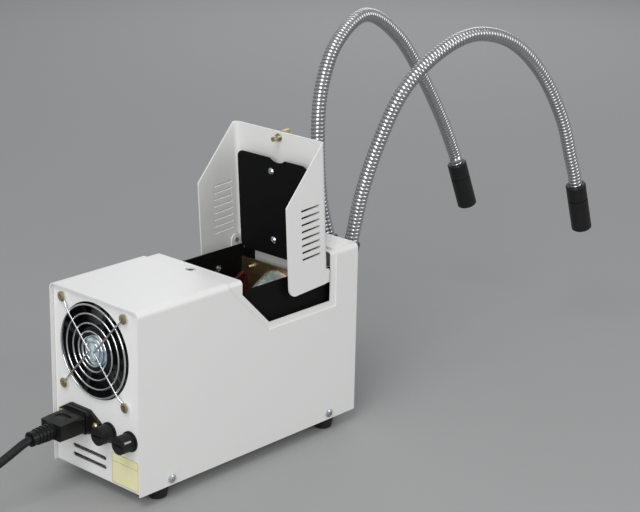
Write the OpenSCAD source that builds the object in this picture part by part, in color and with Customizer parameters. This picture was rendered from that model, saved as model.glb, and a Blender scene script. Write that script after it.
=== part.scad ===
// Fiber optic illuminator: a sheet metal light source with a hinged lamp door and two goosenecks.
// Millimetres. Origin on the bench under the middle of the cabinet, +Z up, front panel at -Y.

/* [Cabinet] */
// Width of the cover
cab_w = 102; // [98:1:112]
// Length of the cover, front to rear
cab_l = 245; // [241:1:260]
// Height of the cover
cab_h = 149.5; // [148.5:0.5:160]
// Height of the rubber feet
foot_h = 11; // [8:0.5:16]
// Thickness of the painted sheet
sheet_t = 1.2; // [1:0.1:1.4]
// Outer radius of the cover's long bends
bend_r = 5; // [4.5:0.5:7]
// How far the end panels sit back from the cover's edge
panel_inset = 3; // [2:0.5:5]
// Diameter of each foot at the pan
foot_d = 18; // [14:1:20]
// Distance between the feet across the cabinet
foot_gauge = 80; // [60:1:80]
// Distance between the feet along the cabinet
foot_base = 190; // [150:1:195]
// Height of the pan's side lips
lip_h = 15; // [12:1:18]
// Distance of each cover screw from the middle, along the cabinet
cover_screw_y = 90; // [85:1:100]
// Height of the cover screws above the cover's lower edge
cover_screw_rise = 5.8; // [5:0.1:8]

/* [Lamp door] */
// Length of the door along the cabinet
door_l = 120; // [116:1:122]
// Distance from the door's hinge end to the cover's front edge
door_setback = 28.2; // [27:0.1:30]
// Depth of the door's side flanges
flange_h = 47.3; // [46:0.1:49]
// Distance from the hinge end to the knee of the flange
flange_knee = 76.8; // [74:0.1:78]
// Angle at which the door stands open
door_open = 86.4; // [60:0.1:90]
// Distance of the pivot from the hinge end
pivot_in = 17.4; // [17:0.1:18]
// Distance of the pivot below the closed panel
pivot_drop = 9.5; // [9:0.1:10]
// Diameter of the hinge pins
hinge_pin_d = 4; // [3:0.5:4]
// Gap between the closed door and the edge of its recess
door_gap = 2.2; // [2:0.1:2.6]
// Width of the recessed lip that the door closes on
lip_w = 5.5; // [5:0.1:7]
// Width of the rear lip, which takes the thumb screw
rear_lip_w = 15.9; // [14:0.1:17]
// Number of vent slots in each flange
slot_n = 8; // [4:1:8]
// Distance between vent slots
slot_pitch = 5.9; // [4:0.1:6]
// Width of a vent slot
slot_w = 2; // [1.5:0.1:2.5]
// Length of a vent slot
slot_l = 22; // [14:1:26]
// Distance between the two heat shield screws
shield_screw_gap = 60; // [40:1:66]

/* [Lamp] */
// Height of the light axis above the cover's lower edge
light_rise = 99; // [97:0.5:100]
// Thickness of the inner sheet
inner_t = 1; // [0.8:0.1:1.2]
// Height of the lamp compartment
comp_h = 73.5; // [70:0.5:73.5]
// Diameter of the lamp's reflector
lamp_d = 50; // [48:1:52]
// Depth of the lamp's reflector
lamp_depth = 30; // [26:1:34]

/* [Rear panel] */
// Thickness of the fan
fan_t = 25; // [20:1:30]
// Offset of the fan from the cabinet's middle
fan_x = 2.3; // [0:0.1:3]
// Number of fan blades
blade_n = 7; // [5:1:9]
// Diameter of the guard's wire
wire_d = 1.5; // [1.2:0.1:2]
// Height of the power inlet above the cover's lower edge
inlet_rise = 44.3; // [43:0.1:46]
// Distance of the power inlet from the cabinet's middle
inlet_x = 19.3; // [19:0.1:22]
// Height of the fuses above the cover's lower edge
fuse_rise = 42; // [40:0.5:44]
// Distance of the inner fuse from the cabinet's middle
fuse_x = -13.4; // [-14.5:0.1:-13.4]
// Distance between the two fuses
fuse_pitch = 24; // [20:0.5:24.5]
// Diameter of a fuse cap
fuse_cap_d = 14.6; // [12:0.1:15.6]

/* [Front panel] */
// Distance of the intensity knob from the middle
knob_x = 22; // [18:1:26]
// Distance of the power switch from the middle, the other way
switch_x = 24; // [20:1:28]
// Height of the controls above the cover's lower edge
control_rise = 36; // [32:1:44]
// Diameter of the intensity knob
knob_d = 28; // [22:1:34]
// Travel of the rocker switch
rocker_tilt = 16; // [10:1:18]

/* [Light guide] */
// Diameter of the ferrule that plugs into the light port
ferrule_d = 20; // [16:0.5:22]
// Diameter of the connector head
head_d = 28; // [26:0.5:32]
// Diameter of a gooseneck over its ribs
neck_d = 12.5; // [10:0.5:12.5]
// Diameter of a gooseneck's bore
neck_bore = 8.4; // [7.6:0.1:8.6]
// Number of ribs on a gooseneck
rib_n = 96; // [40:1:100]
// Diameter of a light guide tip
tip_d = 19; // [17:0.5:22]
// Length of a light guide tip
tip_l = 48; // [40:1:60]
// Diameter of a fibre bundle
bundle_d = 6; // [4:0.5:6.5]
// Angle of each gooseneck root from upright
root_lean = 16.5; // [14:0.5:22]

/* [Mains cord] */
// Diameter of the mains cord
cord_d = 6.8; // [6:0.1:7]
// Turns in the stored coil
coil_turns = 6.5; // [4.5:1:8.5]
// Tightest radius in the coil
coil_r_min = 27.5; // [27:0.5:32]
// Gap between neighbouring turns
coil_gap = 0.5; // [0.45:0.05:0.8]

/* [Hidden] */
$fn = 48;

// Clearances
slip = 0.05;        // radial clearance of a turning or sliding fit
loose = 0.3;        // gap between pieces that must not touch
drill = 0.15;       // radial clearance of a screw in its hole
eps = 0.5;          // how far a cut runs past the face it opens

// Colours
white_paint = [0.90, 0.90, 0.88];
black_paint = [0.07, 0.07, 0.07];
black_plastic = [0.05, 0.05, 0.05];
bare_steel = [0.75, 0.76, 0.78];
brass_zinc = [0.72, 0.66, 0.45];

// Cabinet
half_w = cab_w / 2;
half_l = cab_l / 2;
floor_z = foot_h;                       // lower edge of the cover
top_z = foot_h + cab_h;                 // top of the cover
deck_z = floor_z + sheet_t;             // upper face of the pan
panel_y = half_l - panel_inset;         // outer face of an end panel
panel_in_y = panel_y - sheet_t;         // inner face of an end panel
inner_w = cab_w - 2 * sheet_t;          // between the cover's side walls
panel_flange = 10;                      // depth of the end panels' folded edges
joggle = sheet_t + loose;               // depth of the recess around the lamp opening
screw_d = 3.5;                          // cover screws
screw_head_d = 7;
screw_head_h = 2.4;
m3 = 3;
m3_head_d = 6;
m3_head_h = 2.2;
foot_bore_d = 8;
foot_bore_h = 6;
foot_screw_past = 3;                    // of a foot screw, above the pan
foot_edge = 1;
foot_taper = 1.5;
foot_rim = 2;
cover_screw_l = 6;
lip_past_screw = 15;                    // of the pan's lips, beyond each cover screw
tray_step = 1;                          // the end panels' folded edges sit in by this much
head_edge = 0.55;                       // straight share of a pan head's height
head_top = 0.6;                         // top of a pan head against its diameter
slot_cut_w = 0.8;                       // width of a screw head's slots
slot_cut_l = 0.5;                       // length of the slots against the head's diameter

// Lamp door, in the closed place
door_y = -half_l + door_setback;        // hinge end
door_rear_y = door_y + door_l;
door_low_z = top_z - flange_h;
door_knee_y = door_y + flange_knee;
ear_l = 12;                             // the panel starts this far from the hinge end
ear_r = 4.5;
corner_r = 8;
pivot = [0, door_y + pivot_in, top_z - pivot_drop];
slot_s = 28.4;                          // first vent slot, from the hinge end
slot_t = 9;                             // top of the vent slots, below the panel
thumb_s = 115;                          // thumb screw, from the hinge end
thumb_d = 4;
thumb_head_d = 10;
thumb_head_h = 8;
thumb_play = 1;
thumb_reach = 7.5;                      // of the shank, below the panel
thumb_collar_h = 2;
thumb_flutes = 20;
flute_d = 1.2;                          // knurling of the small heads
thumb_clip_d = 7;
thumb_clip_t = 0.9;
clip_bore_d = 8.4;                      // lets the clip drop through the lip
door_nut_d = 12;
door_nut_t = 3;
shield_s = 13.7;                        // hinge end of the heat shield
shield_l = 85.8;
shield_w = cab_w - 23;
shield_t = 10;                          // stand-off of the shield from the panel's outer face
shield_r = 6;
shield_screw_s = 28.5;
relief_r = 13.5;                        // round relief in the shield's free edge
relief_x = -6;
relief_depth = 3;
spacer_d = 8;
spacer_bore_l = 7.3;

// Hinge brackets, which reach under the open panel
bracket_x = half_w - joggle - sheet_t;  // outer face of a bracket
boss_r = 5;
bracket_setback = 3.2;                  // the bracket starts this far before the hinge end
bracket_low_z = pivot[2] - 18;
bracket_arm_z = pivot[2] - 7.5;

// Lamp compartment
light_z = floor_z + light_rise;
comp_w = cab_w - 16;                    // between the compartment's walls
comp_z = light_z - lamp_d / 2 - 11;     // underside of the compartment's floor
comp_top_z = comp_z + comp_h;
comp_front_y = door_y - 1.7;
comp_rear_y = door_rear_y + 4.3;
comp_leg_l = 20;
comp_relief_l = 14;                     // lower front part, clear of the open door
comp_relief_z = comp_top_z - 4;
beam_hole_d = 24;
comp_screw = [comp_w / 2, door_y + 42.9, comp_top_z - 15.6];
comp_screw_l = inner_t + 2;
comp_head_h = 1.8;
foot_notch_d = 9;                       // clears the foot screws
terminal_window = [16, 22];             // clears the switch's terminals
lamp_plate_y = door_y + 13.3;           // front face of the lamp bracket
lamp_plate_top = light_z + lamp_d / 2 + 1.5;
lamp_foot_l = 14;
lamp_foot_in = 6;
bracket_screw = [comp_w / 2 - 11.5, light_z + lamp_d * 0.4];
bracket_screw_l = 5;
lamp_rim = 1.5;                         // of the reflector, before the bracket
lamp_rim_w = 2;
lamp_shell_t = 1.2;
lamp_neck_d = 12;
bowl_steps = 8;
capsule_d = 8;
capsule_start = 12;                     // of the capsule's centre, behind the bracket
lamp_base_l = 14;
socket_l = 16;
socket_w = 22;
socket_h = 14;
socket_r = 2;

// Fan
fan_w = cab_w - 22;
fan_pitch = fan_w - 8.5;                // between the fan's screws
fan_z = top_z - fan_w / 2 - 5;
fan_bore_d = fan_w - 3;
fan_hole_d = fan_w - 1.6;               // in the panel
fan_corner_r = 4;
fan_hub_d = 38;
fan_front_y = panel_in_y - fan_t;
stator_t = 6;
rotor_gap = 0.8;
rotor_l = 15;
blade_t = 1.4;
blade_twist = 48;
fan_shaft_d = 3;
fan_shaft_stop = 2;                     // of the shaft's bore, before the rear face
strut_w = 4;
strut_t = 3;
strut_turn = 20;
blade_root = 3;                         // of a blade, sunk in the hub
blade_tip_gap = 1;
fan_screw_d = 3.8;
guard_rings = [7.5, 11.8, 16.2, 22.7, 30.2, 37.2];
guard_y = panel_y + 1.9;                // plane of the guard's rings
guard_arm_y = guard_y + wire_d * 0.75;  // plane of its two bent wires
guard_bend_x = 2.6;
guard_knee = 0.2;                       // share of a wire's reach that drops to the panel
guard_foot = 0.06;                      // share that is left out at the screw
guard_foot_d = wire_d * 1.15;
guard_eye_d = 8;
guard_eye_y = panel_y + wire_d + 0.2;
fan_screw_head_d = 8;
fan_screw_head_h = 1.4;

// Rear panel fittings
inlet_z = floor_z + inlet_rise;
inlet_flange_w = 48;
inlet_flange_h = 20;
inlet_flange_t = 3;
inlet_top_w = 22.8;                     // straight upper edge of the six-sided flange
inlet_side_h = 4.6;                     // straight edge at each end
inlet_body_w = 27;
inlet_body_h = 18;
inlet_body_l = 27;
inlet_body_in = 0.8;                    // of the body, inside the flange's slants
inlet_rim_w = 27.4;
inlet_rim_h = 19;
inlet_rim_r = 3.5;
inlet_rim_y = panel_y + 6.3;
inlet_cup_w = 24.6;
inlet_cup_h = 16.8;
inlet_cup_r = 2;
inlet_cup_y = panel_y - 18;             // floor of the cup
inlet_screw_l = 8;
inlet_screw_pitch = 40;
inlet_pin_l = 15;
inlet_pins = [[-7, -2], [7, -2], [0, 2.5]];
pin_w = 2;
pin_h = 4;
fuse_z = floor_z + fuse_rise;
fuse_flange_d = fuse_cap_d + 2;
fuse_flange_t = 1.4;
fuse_body_d = 12.5;
fuse_body_l = 32;
fuse_stem_d = 7;
fuse_stem_l = 24;
fuse_cap_l = 11.1;
fuse_cap_flutes = 24;
fuse_flute_d = 1;
fuse_slot = [fuse_cap_d - 5, 3, 1.6];
fuse_nut_d = 18;
fuse_nut_t = 3;
label_w = 30.5;
label_h = 25.4;
label_t = 0.3;
label_r = 1;
label_x = -30.9;
label_z = floor_z + 14.1;
vent_l = 39.9;
vent_h = 3.6;
vent_x = 11.1;
vent_zs = [floor_z + 10.3, floor_z + 18];

// Inside
core_w = 60;
core_h = 50;
core_t = 26;
core_y = 48;
core_leg = 20;
core_window = 10;
coil_proud = 8;
coil_play = 0.2;
coil_corner_r = 2;
board_w = 70;
board_l = 60;
board_t = 1.6;
board_y = -60;
board_z = deck_z + 8;
post_d = 6;
post_in = 5;
choke = [28, 16, 15];
choke_in = 6;
cap_d = 11;
cap_h = 18;
cap_xs = [8, 22];
cap_y = -14;
sink = [1.6, 18, 22];                   // one fin of the heat sink
sink_at = [4, 6];
sink_fins = 5;
sink_pitch = 5;
sink_base_t = 2;

// Front panel fittings
control_z = floor_z + control_rise;
pot_d = 17;
pot_l = 9;
pot_bush_d = 9.5;
pot_bush_l = 7;
pot_nut_d = 15;
pot_nut_t = 2.5;
pot_wall = 2;                           // behind the shaft's bore
shaft_d = 6;
shaft_front_y = -panel_y - 13;
knob_gap = 1.2;
knob_h = 17;
knob_skirt = 3;
knob_step = 1.5;
knob_recess_d = 18.5;
knob_mark = [1.4, 1, 7];
knob_flutes = 18;
knob_flute_d = 2.4;
bezel_w = 25;
bezel_h = 31;
bezel_t = 2;
switch_w = 22;
switch_h = 28;
switch_l = 19;
terminal = [6, 8, 0.8];
terminal_zs = [-7, 0, 7];
rocker_w = 17.4;
rocker_h = 22.6;
rocker_cave_w = rocker_w + 2 * loose;
rocker_cave_h = rocker_h + 2.4;
rocker_cave_l = 12;
rocker_pin_d = 2.5;
rocker_pin_l = 1.2;                     // beyond each side of the rocker
rocker_crest = 6.5;                     // its ends stand this far before the pivot
rocker_dip = 4.6;
rocker_back = 3;
rocker_belly = 4;
rocker_pivot_y = -panel_y + 2;

// Light port and guide
port_d = 36;
port_front_y = -panel_y - 13.5;
port_neck_d = 27;
port_rear_y = -panel_y + 8.5;
port_nut_d = 34;
port_nut_t = 3;
lock_y = port_front_y + 6.5;
lock_d = 4;
lock_head_d = 10;
lock_head_h = 7;
lock_stand = 1.5;                       // of the head, above the collar
ferrule_l = 21;
head_rear_y = port_front_y - loose;
head_l = 34.7;
head_dome = 3;
root_x = 8.5;
root_y = head_rear_y - 22.7;
root_z = light_z + 18;
sleeve_d = 16.5;
sleeve_up = 17;
sleeve_down = 9;
neck_slip = 0.1;
neck_valley = 10.9;
neck_seat = 12;
neck_guide = 4;                         // of the straight run, each side of a tip's mouth
ferrule_window_d = 8;
bore_rings = 20;
bundle_rings = 20;
sweep_sides = 8;
bundle_hole_d = 7;
tip_face_d = 13;
tip_face_l = 2;
tip_groove_t = 1;
tip_groove_at = 15;
tip_groove_in = 0.6;
tip_edge = 1;

// Gooseneck routes, from the root to the tip. The first and last points are worked out.
left_bends = [
    [-21, -160, 190], [-29, -171, 234], [-37, -190, 275], [-44, -224, 303], [-50, -268, 316],
    [-55.5, -316, 304], [-59, -359, 270], [-62, -391, 224], [-63.5, -408, 182]
];
left_tip = [-64.2, -417.6, 155.3];
left_aim = [-0.7, -14.1, -45.4];
right_bends = [
    [21, -154, 177], [30, -159, 221], [40, -173, 267], [48, -201, 304], [56, -248, 321],
    [64, -302, 294], [69, -345, 250], [74, -384, 201]
];
right_tip = [77.3, -415.9, 148.4];
right_aim = [-4, -15.5, -45.8];
spline_steps = 12;

// Cord route from the strain relief to the coil: sideways and rearward steps, then a share of the height
cord_exit = [inlet_x, panel_y + 51.2, inlet_z - 2.7];
cord_low_z = 4.2;
cord_steps = [
    [0, 0, 1], [0.1, 6.3, 0.965], [0.4, 13.3, 0.905], [0.8, 20.3, 0.843], [1.3, 27.8, 0.779],
    [2, 35.3, 0.711], [2.9, 42.8, 0.624], [4.1, 50.3, 0.508], [5.5, 57.8, 0.372], [7.5, 65.3, 0.231],
    [9.9, 72.8, 0.112], [12.1, 81.3, 0.029], [13.3, 87.8, 0.004], [13.7, 93.3, 0]
];
cord_route = [for (p = cord_steps)
    [cord_exit[0] + p[0], cord_exit[1] + p[1], cord_low_z + (cord_exit[2] - cord_low_z) * p[2]]];
cord_leave = 9;                         // the cord's slope where it leaves the relief
coil_rings = 24;
coil_sides = 6;
tie_t = 0.7;
tie_w = 12;
coil_pitch = cord_d + coil_gap;
coil_mid = coil_turns / 2;
coil_start = cord_route[len(cord_route) - 1];
coil_r_out = coil_r_min + coil_pitch * coil_mid;
coil_c = [coil_start[0] + coil_r_out, coil_start[1]];
coil_tail = 14;
c13_y = panel_y + 7.5;                  // shoulder of the connector
c13_rear_y = c13_y + 23.2;
c13_w = 25;
c13_rear_w = 23.5;
c13_top = [6.9, 5];                     // above the inlet's middle, at the shoulder and at the rear
c13_low = [-7.1, -8.3];
c13_r = 3;
grip_w = 15;                            // shallow oval on the connector's top
grip_h = 9;
grip_at = 11;
grip_depth = 0.8;
nose_w = inlet_cup_w - 0.8;
nose_h = inlet_cup_h - 0.8;
nose_l = 22;
pin_play = 1;
relief_d = [13, 11];
relief_ribs = 5;
relief_rib_t = 1.4;
relief_rib_step = 3.2;
relief_rib_h = 0.6;
relief_collar_d = 12;
relief_collar_l = 2.4;
plug_w = 26;
plug_h = 21;
plug_l = 30;
plug_r = 5;
plug_relief_d = 15;
plug_relief_l = 16;
plug_blade = [1.5, 6.3];
plug_blade_l = 17;
plug_blade_z = 3;
plug_pin_d = 4.8;
plug_pin_l = 20;
plug_pin_z = -6;
blade_pitch = 12.7;

// ---- Shared shapes -------------------------------------------------------------------------

// A plate between two Y values, from an outline in X and Z
module plate_y(y0, y1) translate([0, y1, 0]) rotate([90, 0, 0]) linear_extrude(y1 - y0) children();

// A plate between two X values, from an outline in Y and Z
module plate_x(x0, x1) translate([x0, 0, 0]) rotate([90, 0, 90]) linear_extrude(x1 - x0) children();

// A round rod along Y
module rod_y(d, y0, y1) translate([0, y0, 0]) rotate([-90, 0, 0]) cylinder(d = d, h = y1 - y0);

// A round rod along X
module rod_x(d, x0, x1) translate([x0, 0, 0]) rotate([0, 90, 0]) cylinder(d = d, h = x1 - x0);

module both_sides() for (side = [0, 1]) mirror([side, 0, 0]) children();

module round_rect(w, h, r) {
    square([w, h - 2 * r], center = true);
    square([w - 2 * r, h], center = true);
    for (x = [-1, 1], z = [-1, 1]) translate([x * (w / 2 - r), z * (h / 2 - r)]) circle(r);
}

module stadium(w, h) {
    square([w - h, h], center = true);
    for (x = [-1, 1]) translate([x * (w - h) / 2, 0]) circle(d = h);
}

// A pan head screw along -Z, its head's underside at the origin
module pan_screw(d, l, head_d, head_h) {
    difference() {
        union() {
            cylinder(d = head_d, h = head_h * head_edge);
            translate([0, 0, head_h * head_edge])
                cylinder(d1 = head_d, d2 = head_d * head_top, h = head_h * (1 - head_edge));
        }
        for (a = [0, 90]) rotate(a) translate([0, 0, head_h])
            cube([head_d * slot_cut_l, slot_cut_w, head_h], center = true);
    }
    translate([0, 0, -l]) cylinder(d = d, h = l);
}

// A knurled head along +Z
module knurled(d, h, n, flute_d) difference() {
    cylinder(d = d, h = h);
    for (i = [0:n - 1]) rotate(i * 360 / n) translate([d / 2 + flute_d / 4, 0, -eps])
        cylinder(d = flute_d, h = h + 2 * eps);
}

// Points of an arc
function arc(c, r, a0, a1, n = 8) =
    [for (i = [0:n]) c + r * [cos(a0 + (a1 - a0) * i / n), sin(a0 + (a1 - a0) * i / n)]];

// Half of the cover's cross-section grown inwards: an arch with rounded top corners
module arch(inset) {
    r = bend_r - inset;
    w = cab_w - 2 * inset;
    h = cab_h - inset;
    translate([-w / 2, floor_z]) square([w, h - r]);
    translate([-w / 2 + r, floor_z]) square([w - 2 * r, h]);
    for (side = [-1, 1]) translate([side * (w / 2 - r), floor_z + h - r]) circle(r);
}

// The folded sheet between two insets from the cover's outer face
module folded(inset, inner) plate_y(-half_l, half_l) difference() {
    arch(inset);
    arch(inner);
    translate([-inner_w / 2, floor_z - eps]) square([inner_w, bend_r]);
}

// Outline of the lamp opening in Y and Z, grown by a margin, with its own rear edge
function opening(margin, rear) =
    let (low = door_low_z - margin, slope = door_knee_y - door_low_z + margin * sqrt(2))
    [[door_y - margin, low], [low + slope, low], [rear, rear - slope],
     [rear, top_z + eps], [door_y - margin, top_z + eps]];

// ---- Swept tubes ---------------------------------------------------------------------------

function unit(v) = v / norm(v);

function catmull(a, b, c, d, t) = 0.5 * (2 * b + (c - a) * t + (2 * a - 5 * b + 4 * c - d) * t * t
    + (3 * b - a - 3 * c + d) * t * t * t);

// A smooth run through the points
function spline(p, n) = let (last = len(p) - 1) concat(
    [for (i = [0:last - 1], k = [0:n - 1])
        catmull(p[max(i - 1, 0)], p[i], p[i + 1], p[min(i + 2, last)], k / n)], [p[last]]);

// Distance along a run at each of its points
function distances(p) = [for (i = 0, s = 0; i < len(p); i = i + 1,
    s = s + (i < len(p) ? norm(p[i] - p[i - 1]) : 0)) s];

// The point and direction at a distance along a run
function point_at(p, dist, s) =
    [for (k = [0:2]) lookup(s, [for (i = [0:len(p) - 1]) [dist[i], p[i][k]]])];

function heading_at(p, dist, s) = let (step = 1, end = dist[len(dist) - 1])
    unit(point_at(p, dist, min(s + step, end)) - point_at(p, dist, max(s - step, 0)));

// One ring of points around a centre
function ring(c, dir, ref, r, sides) = let (u = unit(ref - (ref * dir) * dir), v = cross(dir, u))
    [for (j = [0:sides - 1]) c + r * (cos(360 * j / sides) * u + sin(360 * j / sides) * v)];

// Two triangles for each side between ring a and ring b
function strip(a, b, sides) = [for (j = [0:sides - 1]) let (k = (j + 1) % sides)
    each [[a * sides + j, b * sides + j, b * sides + k], [a * sides + j, b * sides + k, a * sides + k]]];

// A solid through a list of rings
module loft(rings) {
    sides = len(rings[0]);
    n = len(rings);
    polyhedron(points = [for (r = rings) each r], faces = concat(
        [for (i = [0:n - 2]) each strip(i, i + 1, sides)],
        [for (j = [1:sides - 2]) [0, j, j + 1]],
        [for (j = [1:sides - 2]) [(n - 1) * sides, (n - 1) * sides + j + 1, (n - 1) * sides + j]]));
}

// A closed wall: the rings run up the outside and back down the bore
module hollow_loft(rings) {
    sides = len(rings[0]);
    n = len(rings);
    polyhedron(points = [for (r = rings) each r],
        faces = [for (i = [0:n - 1]) each strip(i, (i + 1) % n, sides)]);
}

// ---- Cabinet -------------------------------------------------------------------------------

module cover() {
    hole_y = door_y + thumb_s;
    color(white_paint) difference() {
        union() {
            difference() {
                folded(0, sheet_t);
                plate_x(-cab_w, cab_w) polygon(opening(door_gap, door_rear_y + door_gap));
            }
            intersection() {
                folded(joggle, joggle + sheet_t);
                plate_x(-cab_w, cab_w) polygon(opening(door_gap, door_rear_y + door_gap));
            }
            intersection() {
                folded(sheet_t, joggle + sheet_t);
                plate_x(-cab_w, cab_w) difference() {
                    polygon(opening(door_gap + sheet_t, door_rear_y + door_gap + sheet_t));
                    polygon(opening(door_gap, door_rear_y + door_gap));
                }
            }
        }
        plate_x(-cab_w, cab_w) polygon(opening(door_gap - lip_w, door_rear_y + door_gap - rear_lip_w));
        translate([0, hole_y, top_z - 2 * joggle - eps]) cylinder(d = clip_bore_d, h = 2 * joggle + 2 * eps);
        both_sides() for (y = [-1, 1]) translate([0, y * cover_screw_y, floor_z + cover_screw_rise])
            rod_x(screw_d + 2 * drill, half_w - 2 * sheet_t, half_w + eps);
    }
}

module base_pan() color(white_paint) difference() {
    union() {
        translate([-inner_w / 2, -panel_y, floor_z]) cube([inner_w, 2 * panel_y, sheet_t]);
        both_sides() plate_x(inner_w / 2 - sheet_t, inner_w / 2)
            translate([-cover_screw_y - lip_past_screw, floor_z])
                square([2 * (cover_screw_y + lip_past_screw), lip_h]);
    }
    both_sides() for (y = [-1, 1]) translate([0, y * cover_screw_y, floor_z + cover_screw_rise])
        rod_x(screw_d + 2 * drill, half_w - 3 * sheet_t, half_w);
    for (x = [-1, 1], y = [-1, 1]) translate([x * foot_gauge / 2, y * foot_base / 2, floor_z - eps])
        cylinder(d = m3 + 2 * drill, h = sheet_t + 2 * eps);
}

// A panel with its top and side edges folded inwards; the sheet's rear face is at y
module end_tray(y_in, y_out, back) {
    w = inner_w - 2 * loose;
    h = top_z - sheet_t - loose - deck_z;
    mid = deck_z + h / 2;
    y0 = min(y_in, back);
    y1 = max(y_in, back);
    plate_y(min(y_in, y_out), max(y_in, y_out)) translate([0, mid]) square([w, h], center = true);
    plate_y(y0, y1) difference() {
        translate([0, mid]) square([w - 2 * tray_step, h], center = true);
        translate([0, mid - sheet_t]) square([w - 2 * tray_step - 2 * sheet_t, h], center = true);
    }
}

module rear_panel() color(white_paint) difference() {
    end_tray(panel_in_y, panel_y, panel_in_y - panel_flange);
    translate([fan_x, 0, fan_z]) {
        rod_y(fan_hole_d, panel_in_y - eps, panel_y + eps);
        for (x = [-1, 1], z = [-1, 1]) translate([x * fan_pitch / 2, 0, z * fan_pitch / 2])
            rod_y(fan_screw_d + 2 * drill, panel_in_y - eps, panel_y + eps);
    }
    plate_y(panel_in_y - eps, panel_y + eps) {
        translate([inlet_x, inlet_z]) inlet_body(loose);
        for (z = vent_zs) translate([vent_x, z]) stadium(vent_l, vent_h);
    }
    for (x = [-1, 1]) translate([inlet_x + x * inlet_screw_pitch / 2, 0, inlet_z])
        rod_y(m3 + 2 * drill, panel_in_y - eps, panel_y + eps);
    for (i = [0, 1]) translate([fuse_x - i * fuse_pitch, 0, fuse_z])
        rod_y(fuse_body_d + 2 * drill, panel_in_y - eps, panel_y + eps);
}

module front_panel() color(white_paint) difference() {
    end_tray(-panel_in_y, -panel_y, -panel_in_y + panel_flange);
    translate([0, 0, light_z]) rod_y(port_neck_d + 2 * drill, -panel_y - eps, -panel_in_y + eps);
    translate([knob_x, 0, control_z]) rod_y(pot_bush_d + 2 * drill, -panel_y - eps, -panel_in_y + eps);
    plate_y(-panel_y - eps, -panel_in_y + eps) translate([-switch_x, control_z])
        square([switch_w + 2 * drill, switch_h + 2 * drill], center = true);
}

module feet() color(black_plastic)
    for (x = [-1, 1], y = [-1, 1]) translate([x * foot_gauge / 2, y * foot_base / 2, 0])
        rotate_extrude() polygon([[m3 / 2 + drill, foot_bore_h], [foot_bore_d / 2, foot_bore_h],
            [foot_bore_d / 2, 0], [foot_d / 2 - foot_taper - foot_edge, 0],
            [foot_d / 2 - foot_taper, foot_edge],
            [foot_d / 2, foot_h - foot_rim], [foot_d / 2, foot_h], [m3 / 2 + drill, foot_h]]);

module foot_screws() color(bare_steel)
    for (x = [-1, 1], y = [-1, 1]) translate([x * foot_gauge / 2, y * foot_base / 2, foot_bore_h])
        rotate([180, 0, 0])
            pan_screw(m3, foot_h - foot_bore_h + sheet_t + foot_screw_past, m3_head_d, m3_head_h);

module cover_screws() color(bare_steel)
    both_sides() for (y = [-1, 1]) translate([half_w, y * cover_screw_y, floor_z + cover_screw_rise])
        rotate([0, 90, 0]) pan_screw(screw_d, cover_screw_l, screw_head_d, screw_head_h);

// ---- Lamp door -----------------------------------------------------------------------------

// Turns what is drawn in the closed place to the open one
module opened() translate(pivot) rotate([door_open, 0, 0]) translate(-pivot) children();

module flange_outline() polygon(concat(
    arc([door_y + ear_r, top_z - ear_r], ear_r, 90, 180),
    arc([door_y + corner_r, door_low_z + corner_r], corner_r, 180, 270),
    [[door_knee_y, door_low_z], [door_rear_y, door_low_z + door_rear_y - door_knee_y],
        [door_rear_y, top_z]]));

module lamp_door() color(white_paint) opened() difference() {
    union() {
        intersection() {
            folded(0, sheet_t);
            plate_x(-cab_w, cab_w) intersection() {
                flange_outline();
                translate([door_y + ear_l, floor_z]) square([door_l, cab_h]);
            }
        }
        both_sides() plate_x(half_w - sheet_t, half_w) intersection() {
            flange_outline();
            translate([door_y - eps, floor_z]) square([ear_l + eps, cab_h]);
        }
    }
    plate_x(-cab_w, cab_w) for (i = [0:slot_n - 1])
        translate([door_y + slot_s + i * slot_pitch, top_z - slot_t - slot_l / 2]) rotate(90)
            stadium(slot_l, slot_w);
    translate([0, door_y + thumb_s, top_z - joggle - eps])
        cylinder(d = thumb_d + 2 * drill, h = joggle + 2 * eps);
}

module door_hinge_pins() color(bare_steel) opened() both_sides() translate(pivot)
    rod_x(hinge_pin_d, bracket_x - 2 * sheet_t, half_w - sheet_t);

module hinge_brackets() color(white_paint) both_sides()
    plate_x(bracket_x - sheet_t, bracket_x) difference() {
        union() {
            translate([door_y - bracket_setback, bracket_low_z])
                square([pivot_in + bracket_setback + boss_r, bracket_arm_z - bracket_low_z]);
            translate([pivot[1] - boss_r, bracket_low_z]) square([2 * boss_r, pivot[2] - bracket_low_z]);
            translate([pivot[1], pivot[2]]) circle(boss_r);
        }
        translate([pivot[1], pivot[2]]) circle(hinge_pin_d / 2 + slip);
    }

module door_heat_shield() color(black_paint) opened()
    translate([0, door_y + shield_s + shield_l / 2, top_z - shield_t - inner_t])
        linear_extrude(inner_t) difference() {
            round_rect(shield_w, shield_l, shield_r);
            translate([relief_x, shield_l / 2 + relief_r - relief_depth]) circle(relief_r);
            for (i = [0, 1]) translate([0, shield_screw_s + i * shield_screw_gap - shield_s - shield_l / 2])
                circle(m3 / 2 + drill);
        }

// Places a piece at each heat shield screw, on the panel's inner side
module at_shield_screws(t) opened() for (i = [0, 1])
    translate([0, door_y + shield_screw_s + i * shield_screw_gap, top_z - t]) children();

module shield_spacers() color(bare_steel) at_shield_screws(shield_t) difference() {
    cylinder(d = spacer_d, h = shield_t - sheet_t);
    translate([0, 0, -eps]) cylinder(d = m3 + 2 * slip, h = spacer_bore_l + eps);
}

module shield_screws() color(bare_steel) at_shield_screws(shield_t + inner_t)
    rotate([180, 0, 0]) pan_screw(m3, inner_t + spacer_bore_l - loose, m3_head_d, m3_head_h);

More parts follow.
